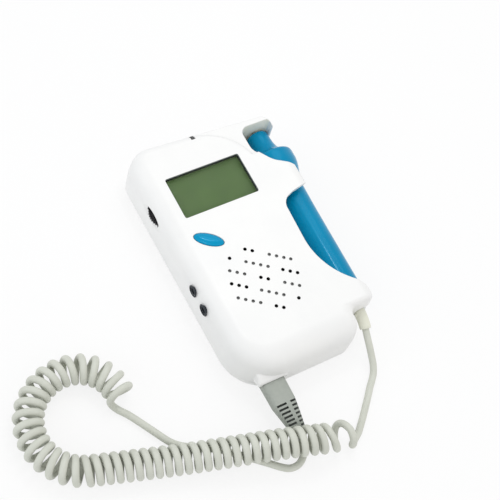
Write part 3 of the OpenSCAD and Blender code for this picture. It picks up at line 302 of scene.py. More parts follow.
def taken(thing):
    """The thing with its modifiers worked in."""
    bpy.context.view_layer.update()
    source = thing.evaluated_get(bpy.context.evaluated_depsgraph_get())
    mesh = bpy.data.meshes.new_from_object(source)
    old, name = thing.data, thing.data.name
    thing.modifiers.clear()
    thing.data = mesh
    bpy.data.meshes.remove(old)
    mesh.name = name
    return thing


def remove(thing):
    """Delete a thing and its mesh."""
    mesh = thing.data
    bpy.data.objects.remove(thing)
    bpy.data.meshes.remove(mesh)


def shape(thing, add=(), cut=(), keep=()):
    """Add, cut away or keep only what lies in other closed solids, which are then gone."""
    for operation, others in (("UNION", add), ("INTERSECT", keep), ("DIFFERENCE", cut)):
        for other in others:
            work = thing.modifiers.new("shape", "BOOLEAN")
            work.operation, work.solver, work.object = operation, "MANIFOLD", other
            taken(thing)
            remove(other)
    return thing


def soften(thing, angle=28, weighted=True):
    """Smooth shading that keeps the real edges."""
    for face in thing.data.polygons:
        face.use_smooth = True
    thing.data.set_sharp_from_angle(angle=math.radians(angle))
    if weighted:
        level = thing.modifiers.new("weighted", "WEIGHTED_NORMAL")
        level.keep_sharp, level.weight = True, 60
        taken(thing)
    return thing


def dress(thing, material):
    """Give a thing one material."""
    thing.data.materials.clear()
    thing.data.materials.append(material)


def tint(thing, material, inside, facing=None, least=0.3):
    """Give the faces whose middle passes a test in millimetres a material of their own."""
    thing.data.materials.append(material)
    for face in thing.data.polygons:
        turned = facing is None or face.normal.dot(Vector(facing)) > least
        if turned and inside(*(face.center / MM)):
            face.material_index = len(thing.data.materials) - 1


def settle(thing, body, material, slot, *stands_for):
    """Give a finished piece its material, its body and the nodes that it stands for."""
    dress(thing, material)
    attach(thing, body)
    if stands_for:
        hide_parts(*stands_for)


# Node trees: a socket that takes arithmetic, and one method that makes every node
class Signal:
    """The value of a socket; arithmetic on it adds Math nodes."""

    def __init__(self, tree, socket):
        self.tree, self.socket = tree, socket

    def maths(self, operation, *values):
        """A Math node on some values."""
        return self.tree.node("ShaderNodeMath", {"operation": operation}, dict(enumerate(values)))

    def __add__(self, other):
        return self.maths("ADD", self, other)

    def __mul__(self, other):
        return self.maths("MULTIPLY", self, other)

    __radd__, __rmul__ = __add__, __mul__

    def larger(self, other):
        """The larger of two values."""
        return self.maths("MAXIMUM", self, other)

    def wave(self):
        """The sine of the value."""
        return self.maths("SINE", self)

    def ramp(self, low, high):
        """0 below low, 1 above high and a smooth step between."""
        return self.tree.node("ShaderNodeMapRange", {"interpolation_type": "SMOOTHSTEP"},
                              {"Value": self, "From Min": low, "From Max": high})


class Tree:
    """A node tree; its own family of nodes is named without the family."""

    family = "ShaderNode"

    def node(self, kind, settings=None, values=None, out=0):
        """Make a node, set it up, then give its inputs their values or links."""
        made = self.tree.nodes.new(kind if kind.startswith("ShaderNode") else self.family + kind)
        for key, value in (settings or {}).items():
            setattr(made, key, value)
        for key, value in (values or {}).items():
            socket = made.inputs[key]
            for one in value if isinstance(value, list) else [value]:
                if isinstance(one, Signal):
                    self.tree.links.new(one.socket, socket)
                elif socket.type == "RGBA" and len(one) == 3:
                    socket.default_value = (*one, 1)
                else:
                    socket.default_value = one
        return Signal(self, made.outputs[out]) if made.outputs else None


class Finish(Tree):
    """The shader tree of a material or of the world."""

    def __init__(self, name, owners=bpy.data.materials):
        self.owner = owners.new(name)
        self.owner.use_nodes = True
        self.tree = self.owner.node_tree
        self.tree.nodes.clear()

    @property
    def place(self):
        """The object's own places."""
        return self.node("TexCoord", out="Object")

    def stretched(self, factors):
        """The object's own places, times a factor on each axis."""
        return self.node("VectorMath", {"operation": "MULTIPLY"}, {0: self.place, 1: factors})

    def noise(self, scale, detail=3.0, roughness=0.5, stretch=None):
        """Noise on the object's own places."""
        place = self.place if stretch is None else self.stretched(stretch)
        return self.node("TexNoise", {}, {"Vector": place, "Scale": scale, "Detail": detail,
                                          "Roughness": roughness})

    def stripes(self, axis, pitch, start=0.0):
        """A wave along one axis, with its pitch in millimetres."""
        along = self.node("SeparateXYZ", {}, {0: self.place}, out=axis)
        return (along * (2 * math.pi / (pitch * MM)) + start).wave()

    def blend(self, factor, first, second):
        """Two colours by a factor."""
        return self.node("Mix", {"data_type": "RGBA"}, {0: factor, 6: first, 7: second}, out=2)

    def bump(self, height, distance, strength, edge=None):
        """A bumped normal by a distance in millimetres, over soft edges of a radius or none."""
        values = {"Height": height, "Distance": distance * MM, "Strength": strength}
        if edge is not None:
            values["Normal"] = self.node("Bevel", {"samples": 6}, {"Radius": edge * MM})
        return self.node("Bump", {}, values)

    def by_ray(self, lit, seen, share=1.0):
        """One shader for the light it gives, and a share of another where a ray sees it."""
        camera, glossy, through = [self.node("LightPath", out=f"Is {ray} Ray")
                                   for ray in ("Camera", "Glossy", "Transmission")]
        factor = camera.larger(glossy).larger(through) * share
        return self.node("MixShader", {}, {0: factor, 1: lit, 2: seen})

    def surface(self, **values):
        """The Principled shader on the output."""
        names = {key.replace("_", " "): value for key, value in values.items()}
        return self.finish(self.node("BsdfPrincipled", {}, names))

    def finish(self, shader, kind="Material"):
        """The output with a shader on it, and whose tree it is."""
        self.node("Output" + kind, {}, {"Surface": shader})
        return self.owner


class Pattern(Tree):
    """A geometry node tree with named inputs, from sizes with underscores for spaces."""

    family = "GeometryNode"

    def __init__(self, name, **sizes):
        self.tree = bpy.data.node_groups.new(name, "GeometryNodeTree")
        self.sizes = {key.replace("_", " "): value for key, value in sizes.items()}
        face = self.tree.interface
        for way in ("OUTPUT", "INPUT"):
            face.new_socket("Geometry", in_out=way, socket_type="NodeSocketGeometry")
        for key, value in self.sizes.items():
            kind = "NodeSocketInt" if isinstance(value, int) else "NodeSocketFloat"
            face.new_socket(key, in_out="INPUT", socket_type=kind)
        self.given = self.tree.nodes.new("NodeGroupInput")
        self.result = self.tree.nodes.new("NodeGroupOutput")

    def size(self, key):
        """One of the inputs."""
        return Signal(self, self.given.outputs[key])

    def vector(self, **parts):
        """A vector from its X, Y and Z."""
        return self.node("ShaderNodeCombineXYZ", {}, parts)

    def line(self, count, start, step):
        """Points at an even step."""
        return self.node("MeshLine", {"mode": "OFFSET"},
                         {"Count": count, "Start Location": start, "Offset": step})

    def thing(self, source):
        """The geometry of an object."""
        return self.node("ObjectInfo", {"transform_space": "ORIGINAL"}, {"Object": source},
                         out="Geometry")

    def copies(self, mesh, one, **more):
        """A copy of one geometry on each point of a mesh."""
        points = self.node("MeshToPoints", {}, {"Mesh": mesh})
        return self.node("InstanceOnPoints", {}, {"Points": points, "Instance": one, **more})

    def grow(self, start, geometry, material):
        """Realize a geometry in its material, on a starting piece, and leave a plain mesh."""
        real = self.node("RealizeInstances", {}, {"Geometry": geometry})
        done = self.node("SetMaterial", {}, {"Geometry": real, "Material": material})
        self.tree.links.new(done.socket, self.result.inputs[0])
        work = start.modifiers.new("pattern", "NODES")
        work.node_group = self.tree
        for item in self.tree.interface.items_tree:
            if item.in_out == "INPUT" and item.name in self.sizes:
                work[item.identifier] = self.sizes[item.name]
        return taken(start)


# Materials
def moulded_white(name, colour, shade):
    """Satin moulding: a faint drift of tone, a fine eroded grain and soft edges."""
    f = Finish(name)
    drift = f.noise(38, 4, 0.55).ramp(0.35, 0.7)
    return f.surface(Base_Color=f.blend(drift, colour, shade),
                     Roughness=0.36 + 0.12 * f.noise(160, 5, 0.65),
                     Normal=f.bump(f.noise(5200, 2, 0.6), 0.012, 0.35, edge=0.45))


def gloss_blue(name, colour, shade):
    """Smooth gloss moulding with faint handling marks."""
    f = Finish(name)
    drift = f.noise(45, 3, 0.5).ramp(0.3, 0.75)
    marks = f.noise(240, 4, 0.6, stretch=(1, 0.25, 1)).ramp(0.5, 0.8)
    return f.surface(Base_Color=f.blend(drift, colour, shade), Roughness=0.24 + 0.1 * marks,
                     Specular_IOR_Level=0.3, Specular_Tint=(0.12, 0.62, 0.9),
                     Coat_Weight=0.12, Coat_Roughness=0.13,
                     Normal=f.bump(f.noise(900, 2, 0.5), 0.002, 0.1))


def soft_rubber(name, colour, shade, rough):
    """Soft jacket or boot: matte, slightly mottled, with a fine skin."""
    f = Finish(name)
    mottle = f.noise(120, 4, 0.6).ramp(0.3, 0.72)
    return f.surface(Base_Color=f.blend(mottle, colour, shade),
                     Roughness=rough + 0.12 * f.noise(300, 3, 0.6), Specular_IOR_Level=0.45,
                     Normal=f.bump(f.noise(2600, 3, 0.65), 0.02, 0.4, edge=0.3))


def drawn_metal(name, colour, shade, rough):
    """Bright plated metal with fine drawing lines and a few dull spots."""
    f = Finish(name)
    lines = f.noise(3800, 2, 0.7, stretch=(1, 1, 0.08))
    dull = f.noise(420, 4, 0.6).ramp(0.45, 0.75)
    return f.surface(Base_Color=f.blend(dull, colour, shade), Metallic=1.0,
                     Roughness=rough + 0.16 * dull + 0.08 * lines,
                     Normal=f.bump(lines, 0.004, 0.4))


def plain_moulding(name, colour, shade, rough=0.5, shine=0.5):
    """Inner mouldings and packages."""
    f = Finish(name)
    tone = f.noise(200, 4, 0.6).ramp(0.3, 0.75)
    return f.surface(Base_Color=f.blend(tone, colour, shade),
                     Roughness=rough + 0.1 * f.noise(600, 3, 0.6), Specular_IOR_Level=shine,
                     Normal=f.bump(f.noise(3000, 2, 0.6), 0.015, 0.4))


def clear_moulding(name, colour, alpha):
    """Clear pane or plug: see-through with a faint haze."""
    f = Finish(name)
    haze = f.noise(260, 4, 0.6).ramp(0.4, 0.8)
    return f.surface(Base_Color=f.blend(haze, colour, tuple(c * 0.92 for c in colour)),
                     Roughness=0.06 + 0.06 * haze, Alpha=alpha + 0.03 * haze,
                     Specular_IOR_Level=0.3, Normal=f.bump(f.noise(500, 2, 0.5), 0.003, 0.2))


def display_cell():
    """Reflective display: olive green, mottled, with the faint grid of its unlit cells."""
    f = Finish("display_cell_green")
    mottle = f.noise(95, 4, 0.55).ramp(0.28, 0.75)
    patch = f.noise(34, 2, 0.5).ramp(0.35, 0.7)
    column, row = [f.stripes(axis, 0.42).ramp(0.78, 1.0) for axis in "XY"]
    base = f.blend(mottle, (0.082, 0.162, 0.04), (0.068, 0.14, 0.034))
    patched = f.blend(patch * 0.5, base, (0.085, 0.15, 0.05))
    return f.surface(Base_Color=f.blend((column + row) * 0.05, patched, (0.05, 0.09, 0.03)),
                     Roughness=0.42 + 0.1 * mottle, Specular_IOR_Level=0.25,
                     Normal=f.bump(f.noise(1400, 2, 0.5), 0.004, 0.2))


def solder_mask():
    """Green board with its traces and pads."""
    f = Finish("solder_mask_green")
    flat = f.stretched((1, 1, 0))
    lanes = f.node("TexBrick", {"offset": 0.37, "squash": 1.0},
                   {"Vector": flat, "Color1": (0, 0, 0), "Color2": (0.25, 0.25, 0.25),
                    "Mortar": (1, 1, 1), "Scale": 230.0, "Mortar Size": 0.035,
                    "Brick Width": 0.9, "Row Height": 0.35})
    pads = f.node("TexVoronoi", {"feature": "F1"}, {"Vector": flat, "Scale": 260.0},
                  out="Distance").ramp(0.16, 0.1)
    tone = f.noise(180, 3, 0.5)
    green = f.blend(tone, (0.02, 0.13, 0.05), (0.03, 0.18, 0.07))
    mask = f.blend(lanes * 0.6, green, (0.05, 0.25, 0.1))
    return f.surface(Base_Color=f.blend(pads, mask, (0.6, 0.6, 0.56)), Metallic=pads * 0.9,
                     Roughness=0.38 + 0.1 * tone, Normal=f.bump(lanes + pads, 0.03, 0.5))


def dust_cloth():
    """Thin black woven cloth behind the speaker's holes."""
    f = Finish("dust_cloth_black")
    weave = f.stripes("X", 0.5) * f.stripes("Y", 0.5) * 0.5 + 0.5
    return f.surface(Base_Color=f.blend(weave, (0.006, 0.006, 0.007), (0.02, 0.02, 0.022)),
                     Roughness=0.85, Normal=f.bump(weave, 0.08, 0.6))


def cell_jacket():
    """Plain jacketed cells: a dark wrap with a lighter band and a few scuffs."""
    f = Finish("cell_jacket_dark")
    band = f.stripes("Y", 46, start=1.1).ramp(0.55, 0.6)
    scuff = f.noise(500, 4, 0.6).ramp(0.55, 0.8)
    wrap = f.blend(band, (0.012, 0.02, 0.05), (0.42, 0.43, 0.44))
    return f.surface(Base_Color=f.blend(scuff * 0.3, wrap, (0.3, 0.3, 0.3)), Metallic=0.35,
                     Roughness=0.3 + 0.2 * scuff, Normal=f.bump(f.noise(1500, 2, 0.5), 0.01, 0.3))


case_white = moulded_white("case_moulding_white", (0.85, 0.85, 0.84), (0.83, 0.832, 0.825))
probe_blue = gloss_blue("probe_moulding_blue", (0.0, 0.24, 0.44), (0.0, 0.222, 0.41))
button_blue = gloss_blue("button_cap_blue", (0.0, 0.275, 0.5), (0.0, 0.258, 0.47))
cord_jacket = soft_rubber("cord_jacket_grey", (0.63, 0.645, 0.575), (0.585, 0.6, 0.53), 0.42)
boot_rubber = soft_rubber("boot_rubber_grey", (0.37, 0.395, 0.355), (0.33, 0.355, 0.32), 0.5)
sleeve_rubber = soft_rubber("sleeve_rubber_cream", (0.78, 0.785, 0.67), (0.74, 0.745, 0.63), 0.48)
bright_metal = drawn_metal("tinned_metal_bright", (0.72, 0.72, 0.7), (0.55, 0.55, 0.53), 0.28)
gilt = drawn_metal("contact_plating_gold", (0.86, 0.62, 0.22), (0.7, 0.5, 0.2), 0.22)
# painted light: a cream copy of the case white, for the warm cast of light inside the hook
hook_painted_warm_light = moulded_white("case_moulding_cream", (0.97, 0.93, 0.8), (0.95, 0.91, 0.78))
# painted shade: near black for the walls of the open holes and of the wheel's slot
hole_painted_shade = plain_moulding("hole_wall_dark", (0.012, 0.012, 0.013), (0.02, 0.02, 0.021), 0.7)
# painted shade: mid grey for the dimples' walls and floors
dimple_grey = plain_moulding("dimple_grey", (0.29, 0.29, 0.285), (0.34, 0.34, 0.335), 0.6)
# painted shade: dark grey-blue for the walls of the display's opening, which are the white shell
display_edge_painted_shade = plain_moulding("display_trim_grey", (0.2, 0.23, 0.24), (0.25, 0.28, 0.28))
# painted shade: dark grey for the walls and floors of the boot's slots
slot_painted_shade = plain_moulding("boot_slot_dark", (0.085, 0.092, 0.085), (0.105, 0.112, 0.105), 0.7)
slate = plain_moulding("socket_moulding_slate", (0.03, 0.036, 0.044), (0.038, 0.045, 0.053),
                       shine=0.2)
wheel_grey = plain_moulding("wheel_moulding_grey", (0.008, 0.008, 0.009), (0.018, 0.018, 0.019),
                            shine=0.15)
lens_pale = plain_moulding("lens_resin_pale", (0.5, 0.52, 0.46), (0.46, 0.48, 0.43), 0.25)

# The nodes that keep the form they have in the part's drawing
finishes = {node: plain_moulding(*rest) for node, *rest in (
    ("display_gasket", "gasket_foam_dark", (0.012, 0.014, 0.016), (0.022, 0.024, 0.026), 0.8),
    ("display_frame", "inner_moulding_white", (0.74, 0.74, 0.71), (0.68, 0.68, 0.65)),
    ("board_parts", "package_black", (0.02, 0.02, 0.022), (0.035, 0.035, 0.038), 0.45),
    ("speaker", "speaker_frame_dark", (0.03, 0.03, 0.033), (0.045, 0.045, 0.048), 0.6),
    ("light_pipe", "lamp_pipe_smoke", (0.03, 0.032, 0.032), (0.045, 0.048, 0.048), 0.25),
    ("probe_socket", "modular_socket_black", (0.02, 0.02, 0.022), (0.03, 0.03, 0.033), 0.45),
    ("probe_crystals", "crystal_silvered", (0.62, 0.56, 0.36), (0.55, 0.5, 0.33), 0.35),
    ("probe_backing", "backing_resin_dark", (0.04, 0.04, 0.043), (0.06, 0.06, 0.062), 0.6))}
finishes |= {
    "display_window": clear_moulding("window_pane_clear", (0.2, 0.24, 0.16), 0.05),
    "plug_body": clear_moulding("plug_moulding_clear", (0.66, 0.7, 0.7), 0.45),
    "display_module": display_cell(), "main_board": solder_mask(), "probe_board": solder_mask(),
    "speaker_cloth": dust_cloth(), "battery_cells": cell_jacket(), "earphone_socket": slate,
    "recording_socket": slate, "button_switch": bright_metal, "volume_pot": bright_metal,
    "battery_plates": bright_metal}
for name, material in finishes.items():
    if not nodes[name].material_slots:
        nodes[name].data.materials.append(material)
    for slot in nodes[name].material_slots:
        slot.material = material

# Camera and light, in metres, and the floor
scene = bpy.context.scene
scene.view_settings.view_transform = "Standard"
camera_data = bpy.data.cameras.new("camera")
camera_data.sensor_fit, camera_data.sensor_width, camera_data.lens = "HORIZONTAL", 36.0, 87.702
camera_data.clip_start, camera_data.clip_end = 0.01, 20
camera = bpy.data.objects.new("camera", camera_data)
scene.collection.objects.link(camera)
# The camera's right, up and back ways, then where it stands
camera.matrix_world = Matrix([(0.8635039, -0.4681737, 0.1875484, 0),
                              (0.347229, 0.8215691, 0.4521683, 0),
                              (-0.3657773, -0.3253269, 0.8719916, 0),
                              (-0.2511822, -0.2221978, 0.6107717, 1)]).transposed()
scene.camera = camera

studio = Finish("studio", bpy.data.worlds)
studio.finish(studio.by_ray(
    studio.node("Background", {}, {"Color": (0.975, 0.985, 1.0), "Strength": 0.83}),
    studio.node("Background", {}, {"Color": (1, 1, 1), "Strength": 1.0})), "World")
scene.world = studio.owner


def lamp(name, place, aim, size, power, colour=(1, 1, 1)):
    """A soft square lamp that looks at a place."""
    data = bpy.data.lights.new(name, "AREA")
    data.shape, data.size, data.energy, data.color = "SQUARE", size, power, colour
    thing = bpy.data.objects.new(name, data)
    thing.location = place
    thing.rotation_euler = (Vector(aim) - Vector(place)).to_track_quat("-Z", "Y").to_euler()
    scene.collection.objects.link(thing)


lamp("key", (0.3, 0.35, 0.95), (0, 0, 0), 0.6, 1.8, (1.0, 0.99, 0.97))
lamp("fill", (0.35, -0.85, 0.45), (0, 0, 0), 0.6, 0.62, (1.0, 0.85, 0.68))
lamp("glint", (0.008, 0.049, 0.311), (0.0347, -0.03, 0.025), 0.028, 0.085)
lamp("left", (-0.85, 0.12, 0.38), (0, 0, 0), 0.6, 1.15, (0.95, 0.98, 1.0))

floor_half, floor_z = 3000, -0.02
floor = piece("floor", [(x * floor_half, y * floor_half, floor_z)
                        for x, y in ((-1, -1), (1, -1), (1, 1), (-1, 1))], [(0, 1, 2, 3)])
paper = Finish("floor_white")
dress(floor, paper.finish(paper.by_ray(
    paper.node("BsdfDiffuse", {}, {"Color": (0.9, 0.9, 0.9)}),
    paper.node("Emission", {}, {"Color": (1, 1, 1), "Strength": 1.0}), 0.8)))

# Cord: from the boot along the table, through its curls and up to the probe's sleeve
boot_turn, boot_bend_r, boot_bend_y, boot_swing = math.radians(33), 26.0, -87.0, 0.35
sleeve_bend_r, sleeve_turn, sleeve_lean = 30.0, math.radians(24), math.radians(25)
sleeve_straight = 2.4
table_z = 2.1


def boot_centre(a):
    """The boot's middle line after a part of its turn."""
    drop = boot_bend_r * (1 - math.cos(a))
    return np.array([plug_x + boot_swing * drop, boot_bend_y - boot_bend_r * math.sin(a),
                     plug_z - drop])


def sleeve_centre(a):
    """The sleeve's middle line after a part of its turn."""
    drop = sleeve_bend_r * (1 - math.cos(a))
    return np.array([probe_x - drop * math.sin(sleeve_lean),
                     tail_y - sleeve_straight - sleeve_bend_r * math.sin(a),
                     probe_z - drop * math.cos(sleeve_lean)])


boot_tip, sleeve_end = boot_centre(boot_turn), sleeve_centre(sleeve_turn)
boot_dir = np.array([0, -math.cos(boot_turn), -math.sin(boot_turn)])
sleeve_dir = np.array([-math.sin(sleeve_turn) * math.sin(sleeve_lean), -math.cos(sleeve_turn),
                       -math.sin(sleeve_turn) * math.cos(sleeve_lean)])
plug_route = [boot_tip, boot_tip + 2.6 * boot_dir, (-25.8, -107, 5), (-26.1, -110.6, 3.3),
              (-28.4, -115.1, 2.4)]
plug_route += [(x, y, table_z) for x, y in (
    (-32.7, -117.8), (-37.8, -117.6), (-42.1, -114.8), (-45.8, -111.4), (-49.6, -108),
    (-55.4, -102.8), (-61, -97.8), (-66.8, -93.1), (-73, -89), (-79.4, -85.6), (-85, -82),
    (-89.1, -78), (-92.2, -73), (-95.4, -67.4), (-98.6, -61.9), (-100.9, -58))]
probe_route = [sleeve_end, sleeve_end + 3.5 * sleeve_dir, (34.7, -77, 10), (34.3, -82.2, 6.4),
               (33.6, -86.4, 4), (31.7, -90.4, 2.6), (28.9, -93.6, 2.2)]
probe_route += [(x, y, table_z) for x, y in (
    (26, -96.4), (22, -100.7), (17.5, -105.4), (13, -110), (9.8, -113.1))]
# The curly stretch's axis: arcs and straights, each (length, turn in degrees, curls)
curl_chain = [(3.5, 0, 0.6), (30.6, 78, 4.9), (82, 170, 14), (113.8, 0, 22.5), (12.5, 9, 2.25),
              (12.5, 3, 1), (0.5, 0, 0.25)]
curl_start, curl_heading = np.array([-103, -46.2]), math.radians(94)
curl_r = (curl_od - cord_d) / 2
curl_floor = cord_d / 2 + curl_r + 0.05
curl_length, _, curls = [sum(column) for column in zip(*curl_chain)]
hump_at, hump_rise, hump_h = 230, 80, 7.1
points_in_curl = 40


def hump(s):
    """The curls ride over the plug's lead in one long low hump."""
    u = (s - hump_at) / (hump_rise if s < hump_at else curl_length - hump_at)
    return hump_h * math.cos(math.radians(90 * u)) ** 2 if abs(u) < 1 else 0


def stretch_end(p, heading, length, turn):
    """Where an arc or a straight ends."""
    if turn == 0:
        return p + length * np.array([math.cos(heading), math.sin(heading)])
    end = heading + turn
    return p + length / turn * np.array([math.sin(end) - math.sin(heading),
                                         math.cos(heading) - math.cos(end)])


def curl_point(c):
    """Centre of the wire after a number of curls."""
    start, heading, gone, length = curl_start, curl_heading, 0.0, 0.0
    for row in curl_chain:
        row_length, turn, row_curls = row[0], math.radians(row[1]), row[2]
        if c < gone + row_curls or row is curl_chain[-1]:
            break
        start = stretch_end(start, heading, row_length, turn)
        heading, gone, length = heading + turn, gone + row_curls, length + row_length
    part = (c - gone) / row_curls
    middle = stretch_end(start, heading, row_length * part, turn * part)
    h, a = heading + turn * part, math.pi / 2 + 2 * math.pi * c
    return np.array([middle[0] - curl_r * math.sin(a) * math.sin(h),
                     middle[1] + curl_r * math.sin(a) * math.cos(h),
                     curl_floor + hump(length + row_length * part) - curl_r * math.cos(a)])


def along_route(places, steps=6):
    """A smooth curve through the places of a route."""
    p = [np.array(q, float) for q in (places[0], *places, places[-1])]
    points = []
    for a, b, c, d in zip(p, p[1:], p[2:], p[3:]):
        points += [0.5 * (2 * b + (c - a) * t + (2 * a - 5 * b + 4 * c - d) * t ** 2
                          + (3 * b - a - 3 * c + d) * t ** 3) for t in np.arange(steps) / steps]
    return points + [p[-1]]


def swing(place, way, degrees):
    """The wire swings down to the table in a quarter turn."""
    base = np.array([place[0], place[1], curl_floor])
    return [base + way * curl_r * (1 - math.cos(a)) - Z * curl_r * math.sin(a)
            for a in np.radians(degrees)]


start_dir, end_dir = unit(np.array([-0.62, 0.78, 0])), unit(np.array([0.85, 0.53, 0]))
lead_in = swing(curl_point(0), -start_dir, np.arange(90, 0, -5))
lead_out = swing(curl_point(curls), end_dir, np.arange(5, 90.1, 5))
curl_path = [curl_point(k / points_in_curl) for k in range(int(points_in_curl * curls) + 1)]
cord_path = (along_route(plug_route + [lead_in[0] - start_dir * cord_d]) + lead_in + curl_path
             + lead_out + along_route(probe_route + [lead_out[-1] + end_dir * cord_d])[::-1])
cord = tube("cord", cord_path, [cord_d / 2] * len(cord_path), 18)
soften(cord, 60, weighted=False)
dress(cord, cord_jacket)
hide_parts("plug_lead", "curly_cord", "probe_lead")
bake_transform(cord)

# The two half shells and the battery cover
corner_steps, hollow_steps = [30, 20, 10, 14, 14, 26], [20, 12, 12, 18]
cradle_roll, overlap = (2, 2), 0.02


def hook_edge(x):
    """The y of the hook end's edge."""
    return top_y + 0.5 - 5.8 * (x - left_x) / (right_x - 0.9 - left_x)


hollow = [(left_x + 1.5, low_y, 25), (channel_x, low_y, 10), (channel_x, hook_edge(channel_x), 6),
          (left_x, top_y + 0.5, 11)]


def growing(depth, count):
    """Depths below a face that lie closer together near it."""
    return [depth * (k / count) ** 2 for k in range(count + 1)]


def rolled(corners, steps, edge_rolls, z_of, depths, inset=0):
    """Layers of an outline whose edges roll in towards a face."""
    return [flat_layer(outline_points(corners, [roll_at(r, d) + inset for r in edge_rolls], steps),
                       z_of(d)) for d in depths]


parting = [flat_layer(outline_points(outline, [0] * 6, corner_steps), parting_z)]


def back_form(name):
    """The lower half, from its back to the parting line."""
    return loft(name, rolled(outline, corner_steps, back_rolls, lambda d: d, growing(7, 14))
                + parting)


def room(name, edge_rolls, z_of, depths):
    """The room inside a half, a wall away from its outer form."""
    kept = [edge_rolls[0], cradle_roll, edge_rolls[4], edge_rolls[5]]
    return loft(name, rolled(hollow, hollow_steps, kept, z_of, depths, wall))


def channel(y0, y1, radius):
    """A channel with a round bottom that is open to the side."""
    return [rod("channel", (probe_x, y0, probe_z), (probe_x, y1, probe_z), radius, 96),
            block("channel_side", probe_x, probe_x + 30, y0, y1, probe_z - radius,
                  probe_z + radius)]


far_x = right_x + 15
scoop_lower = [(far_x, 27, 0), (right_x - 0.2, 27, 0), (right_x - 3.2, 19.3, 4.5), (32, 16.9, 12),
               (channel_x + 1.2, 13.6, 8), (channel_x - 0.5, -30.4, 42), (right_x - 8, -46.1, 0),
               (far_x, -69.1, 0)]
lip_x, lip_y, lip_r = right_x - 1.7, hook_in_y - 2.7, 0.9
scoop_upper = [(far_x, lip_y + 0.2, 0), (lip_x - lip_r + 0.2, lip_y + 0.2, 0),
               (right_x - 3.2, hook_in_y, 2.6), (channel_x + 0.8, hook_in_y, 5),
               (channel_x + 0.9, 50.2, 8), (31.2, 39.2, 14), (right_x - 3.5, 31.9, 0),
               (far_x, 22.1, 0)]


def cradle_cut():
    """What the probe's cradle takes out of both halves."""
    upper = prism("upper_cut", rounded(scoop_upper), cradle_floor, body_h + 6)
    shape(upper, cut=[prism("lip", ring_points(lip_x, lip_y, lip_r, 32), -1, body_h + 8)])
    return [prism("lower_cut", rounded(scoop_lower, 24), -1, body_h + 2), upper,
            block("clip_room", channel_x, channel_x + 40, clip_y0, clip_y1, cradle_floor,
                  body_h - clip_t),
            *channel(tail_y - 0.9, -20, grip_r + 0.6),
            *channel(foot_y - 1, tail_y, sleeve_r + 0.5)]


def step_cut():
    """The soft step down from the face to the hook, along an arc."""
    x0, y0 = -8, 38.8
    layers = []
    for z, r in ((31.6, 32.0), (31.8, 31.7), (32.2, 31.2), (32.6, 30.8), (33.0, 30.2), (40, 30.0)):
        arc = [(x0 + r * math.cos(t), y0 + r * math.sin(t))
               for t in np.linspace(math.pi / 2, math.asin(8 / r), 49)]
        layers.append(flat_layer(arc + [(62, y0 + 8), (62, y0 + 48), (x0, y0 + 48)], z))
    return loft("hook_step", layers)


hole_rows = [[-13, -8.9, 0.6, 4.7, 8.8, 12.7], [-20.5, -11.4, -7.3, -3.2, 0.9, 9.2, 13.3, 17.4],
             [-19.3, -15.2, -11.1, -2.1, 2, 11.2, 15.3, 19.4],
             [-17.2, -13.1, -9, -0.7, 3.4, 7.5, 11.6, 19.9], [-12.5, -8.4, -4.3, -0.2, 8.4, 12.5]]
open_in_row = [{0, 1}, {0, 5, 6, 7}, {3, 4}, {0, 1, 2, 7}, {4, 5}]


def hole_places(is_open):
    """The middles of the speaker's holes, those that are open or those that are dimples."""
    return [on_face(speaker_x, speaker_y, u, (2 - i) * row_pitch)
            for i, row in enumerate(hole_rows) for k, u in enumerate(row)
            if (k in open_in_row[i]) == is_open]


open_places, dimple_places = hole_places(True), hole_places(False)


def perforation(name, places, diameter, z0, z1):
    """Round cutters on a set of places, one for each speaker hole."""
    p = Pattern(name, Hole_diameter=diameter * MM, Hole_length=(z1 - z0) * MM)
    pin = p.node("MeshCylinder", {}, {"Vertices": 24, "Radius": p.size("Hole diameter") * 0.5,
                                      "Depth": p.size("Hole length")})
    start = piece(name, [(x, y, (z0 + z1) / 2) for x, y in places])
    return p.grow(start, p.copies(p.size("Geometry"), pin), case_white)


def hood():
    """The soft lid over the plug, rising from the mouth into the end's roll."""
    half, r = boot_w / 2 + 2.2, 1.7
    quarter = np.linspace(0, math.pi / 2, 9)
    stations = [(0, 1.0), (0.015, 0.6), (0.05, 0.25), (0.11, 0.05)]
    layers = []
    for t, inset in stations + [(t, 0) for t in np.linspace(0.18, 1, 9)]:
        low, high = 16.5 - 6.0 * t, 18.4 + 3.4 * math.sin(t * math.pi / 2) - inset
        a, b = plug_x - half + t + inset, plug_x + half - t - inset
        section = [(a, low), (b, low)]
        section += [(b - r + r * math.cos(q), high - r + r * math.sin(q)) for q in quarter]
        section += [(a + r - r * math.sin(q), high - r + r * math.cos(q)) for q in quarter]
        y = mouth_y + (low_y + 6.2 - mouth_y) * t
        layers.append([(x, y, z) for x, z in section])
    return loft("hood", layers)


def oval(a, b):
    """An oval round the button's middle, turned like the rows of holes."""
    return [on_face(button_x, button_y, a * math.cos(t), b * math.sin(t)) for t in full_turn(72)]


def soft_scoop():
    """A shallow lens cut out of the side wall round the volume wheel."""
    depth, half_h, edge = 2.0, 4.6, 2.3
    radius = (scoop_l ** 2 / 4 + depth ** 2) / (2 * depth)
    axis_x, reach = left_x - radius + depth, math.asin(scoop_l * 0.62 / radius)
    layers = []
    for t in np.linspace(-reach, reach, 41):
        ring = [(axis_x + (radius - edge * abs(v) ** 3) * math.cos(t), v)
                for v in np.linspace(-1, 1, 17)]
        layers.append([(x, wheel_y + radius * math.sin(t), wheel_z + half_h * v)
                       for x, v in [(left_x - 6, -1), *ring, (left_x - 6, 1)]])
    return loft("scoop", layers)


def mouth():
    """The opening for the boot."""
    half_w, half_t = boot_w / 2 + 0.4, boot_t / 2 + 0.4
    ring = rounded_box(plug_x - half_w, plug_x + half_w, plug_z - half_t, plug_z + half_t, 1.2, 8)
    return loft("mouth", [[(x, y, z) for x, z in ring] for y in (mouth_y - 1, mouth_end + 1)])


def socket_room(z0, z1):
    """Room for the cord's socket behind the mouth."""
    return block("socket_room", plug_x - 7.4, plug_x + 7.4, mouth_end, mouth_end + 23, z0, z1)


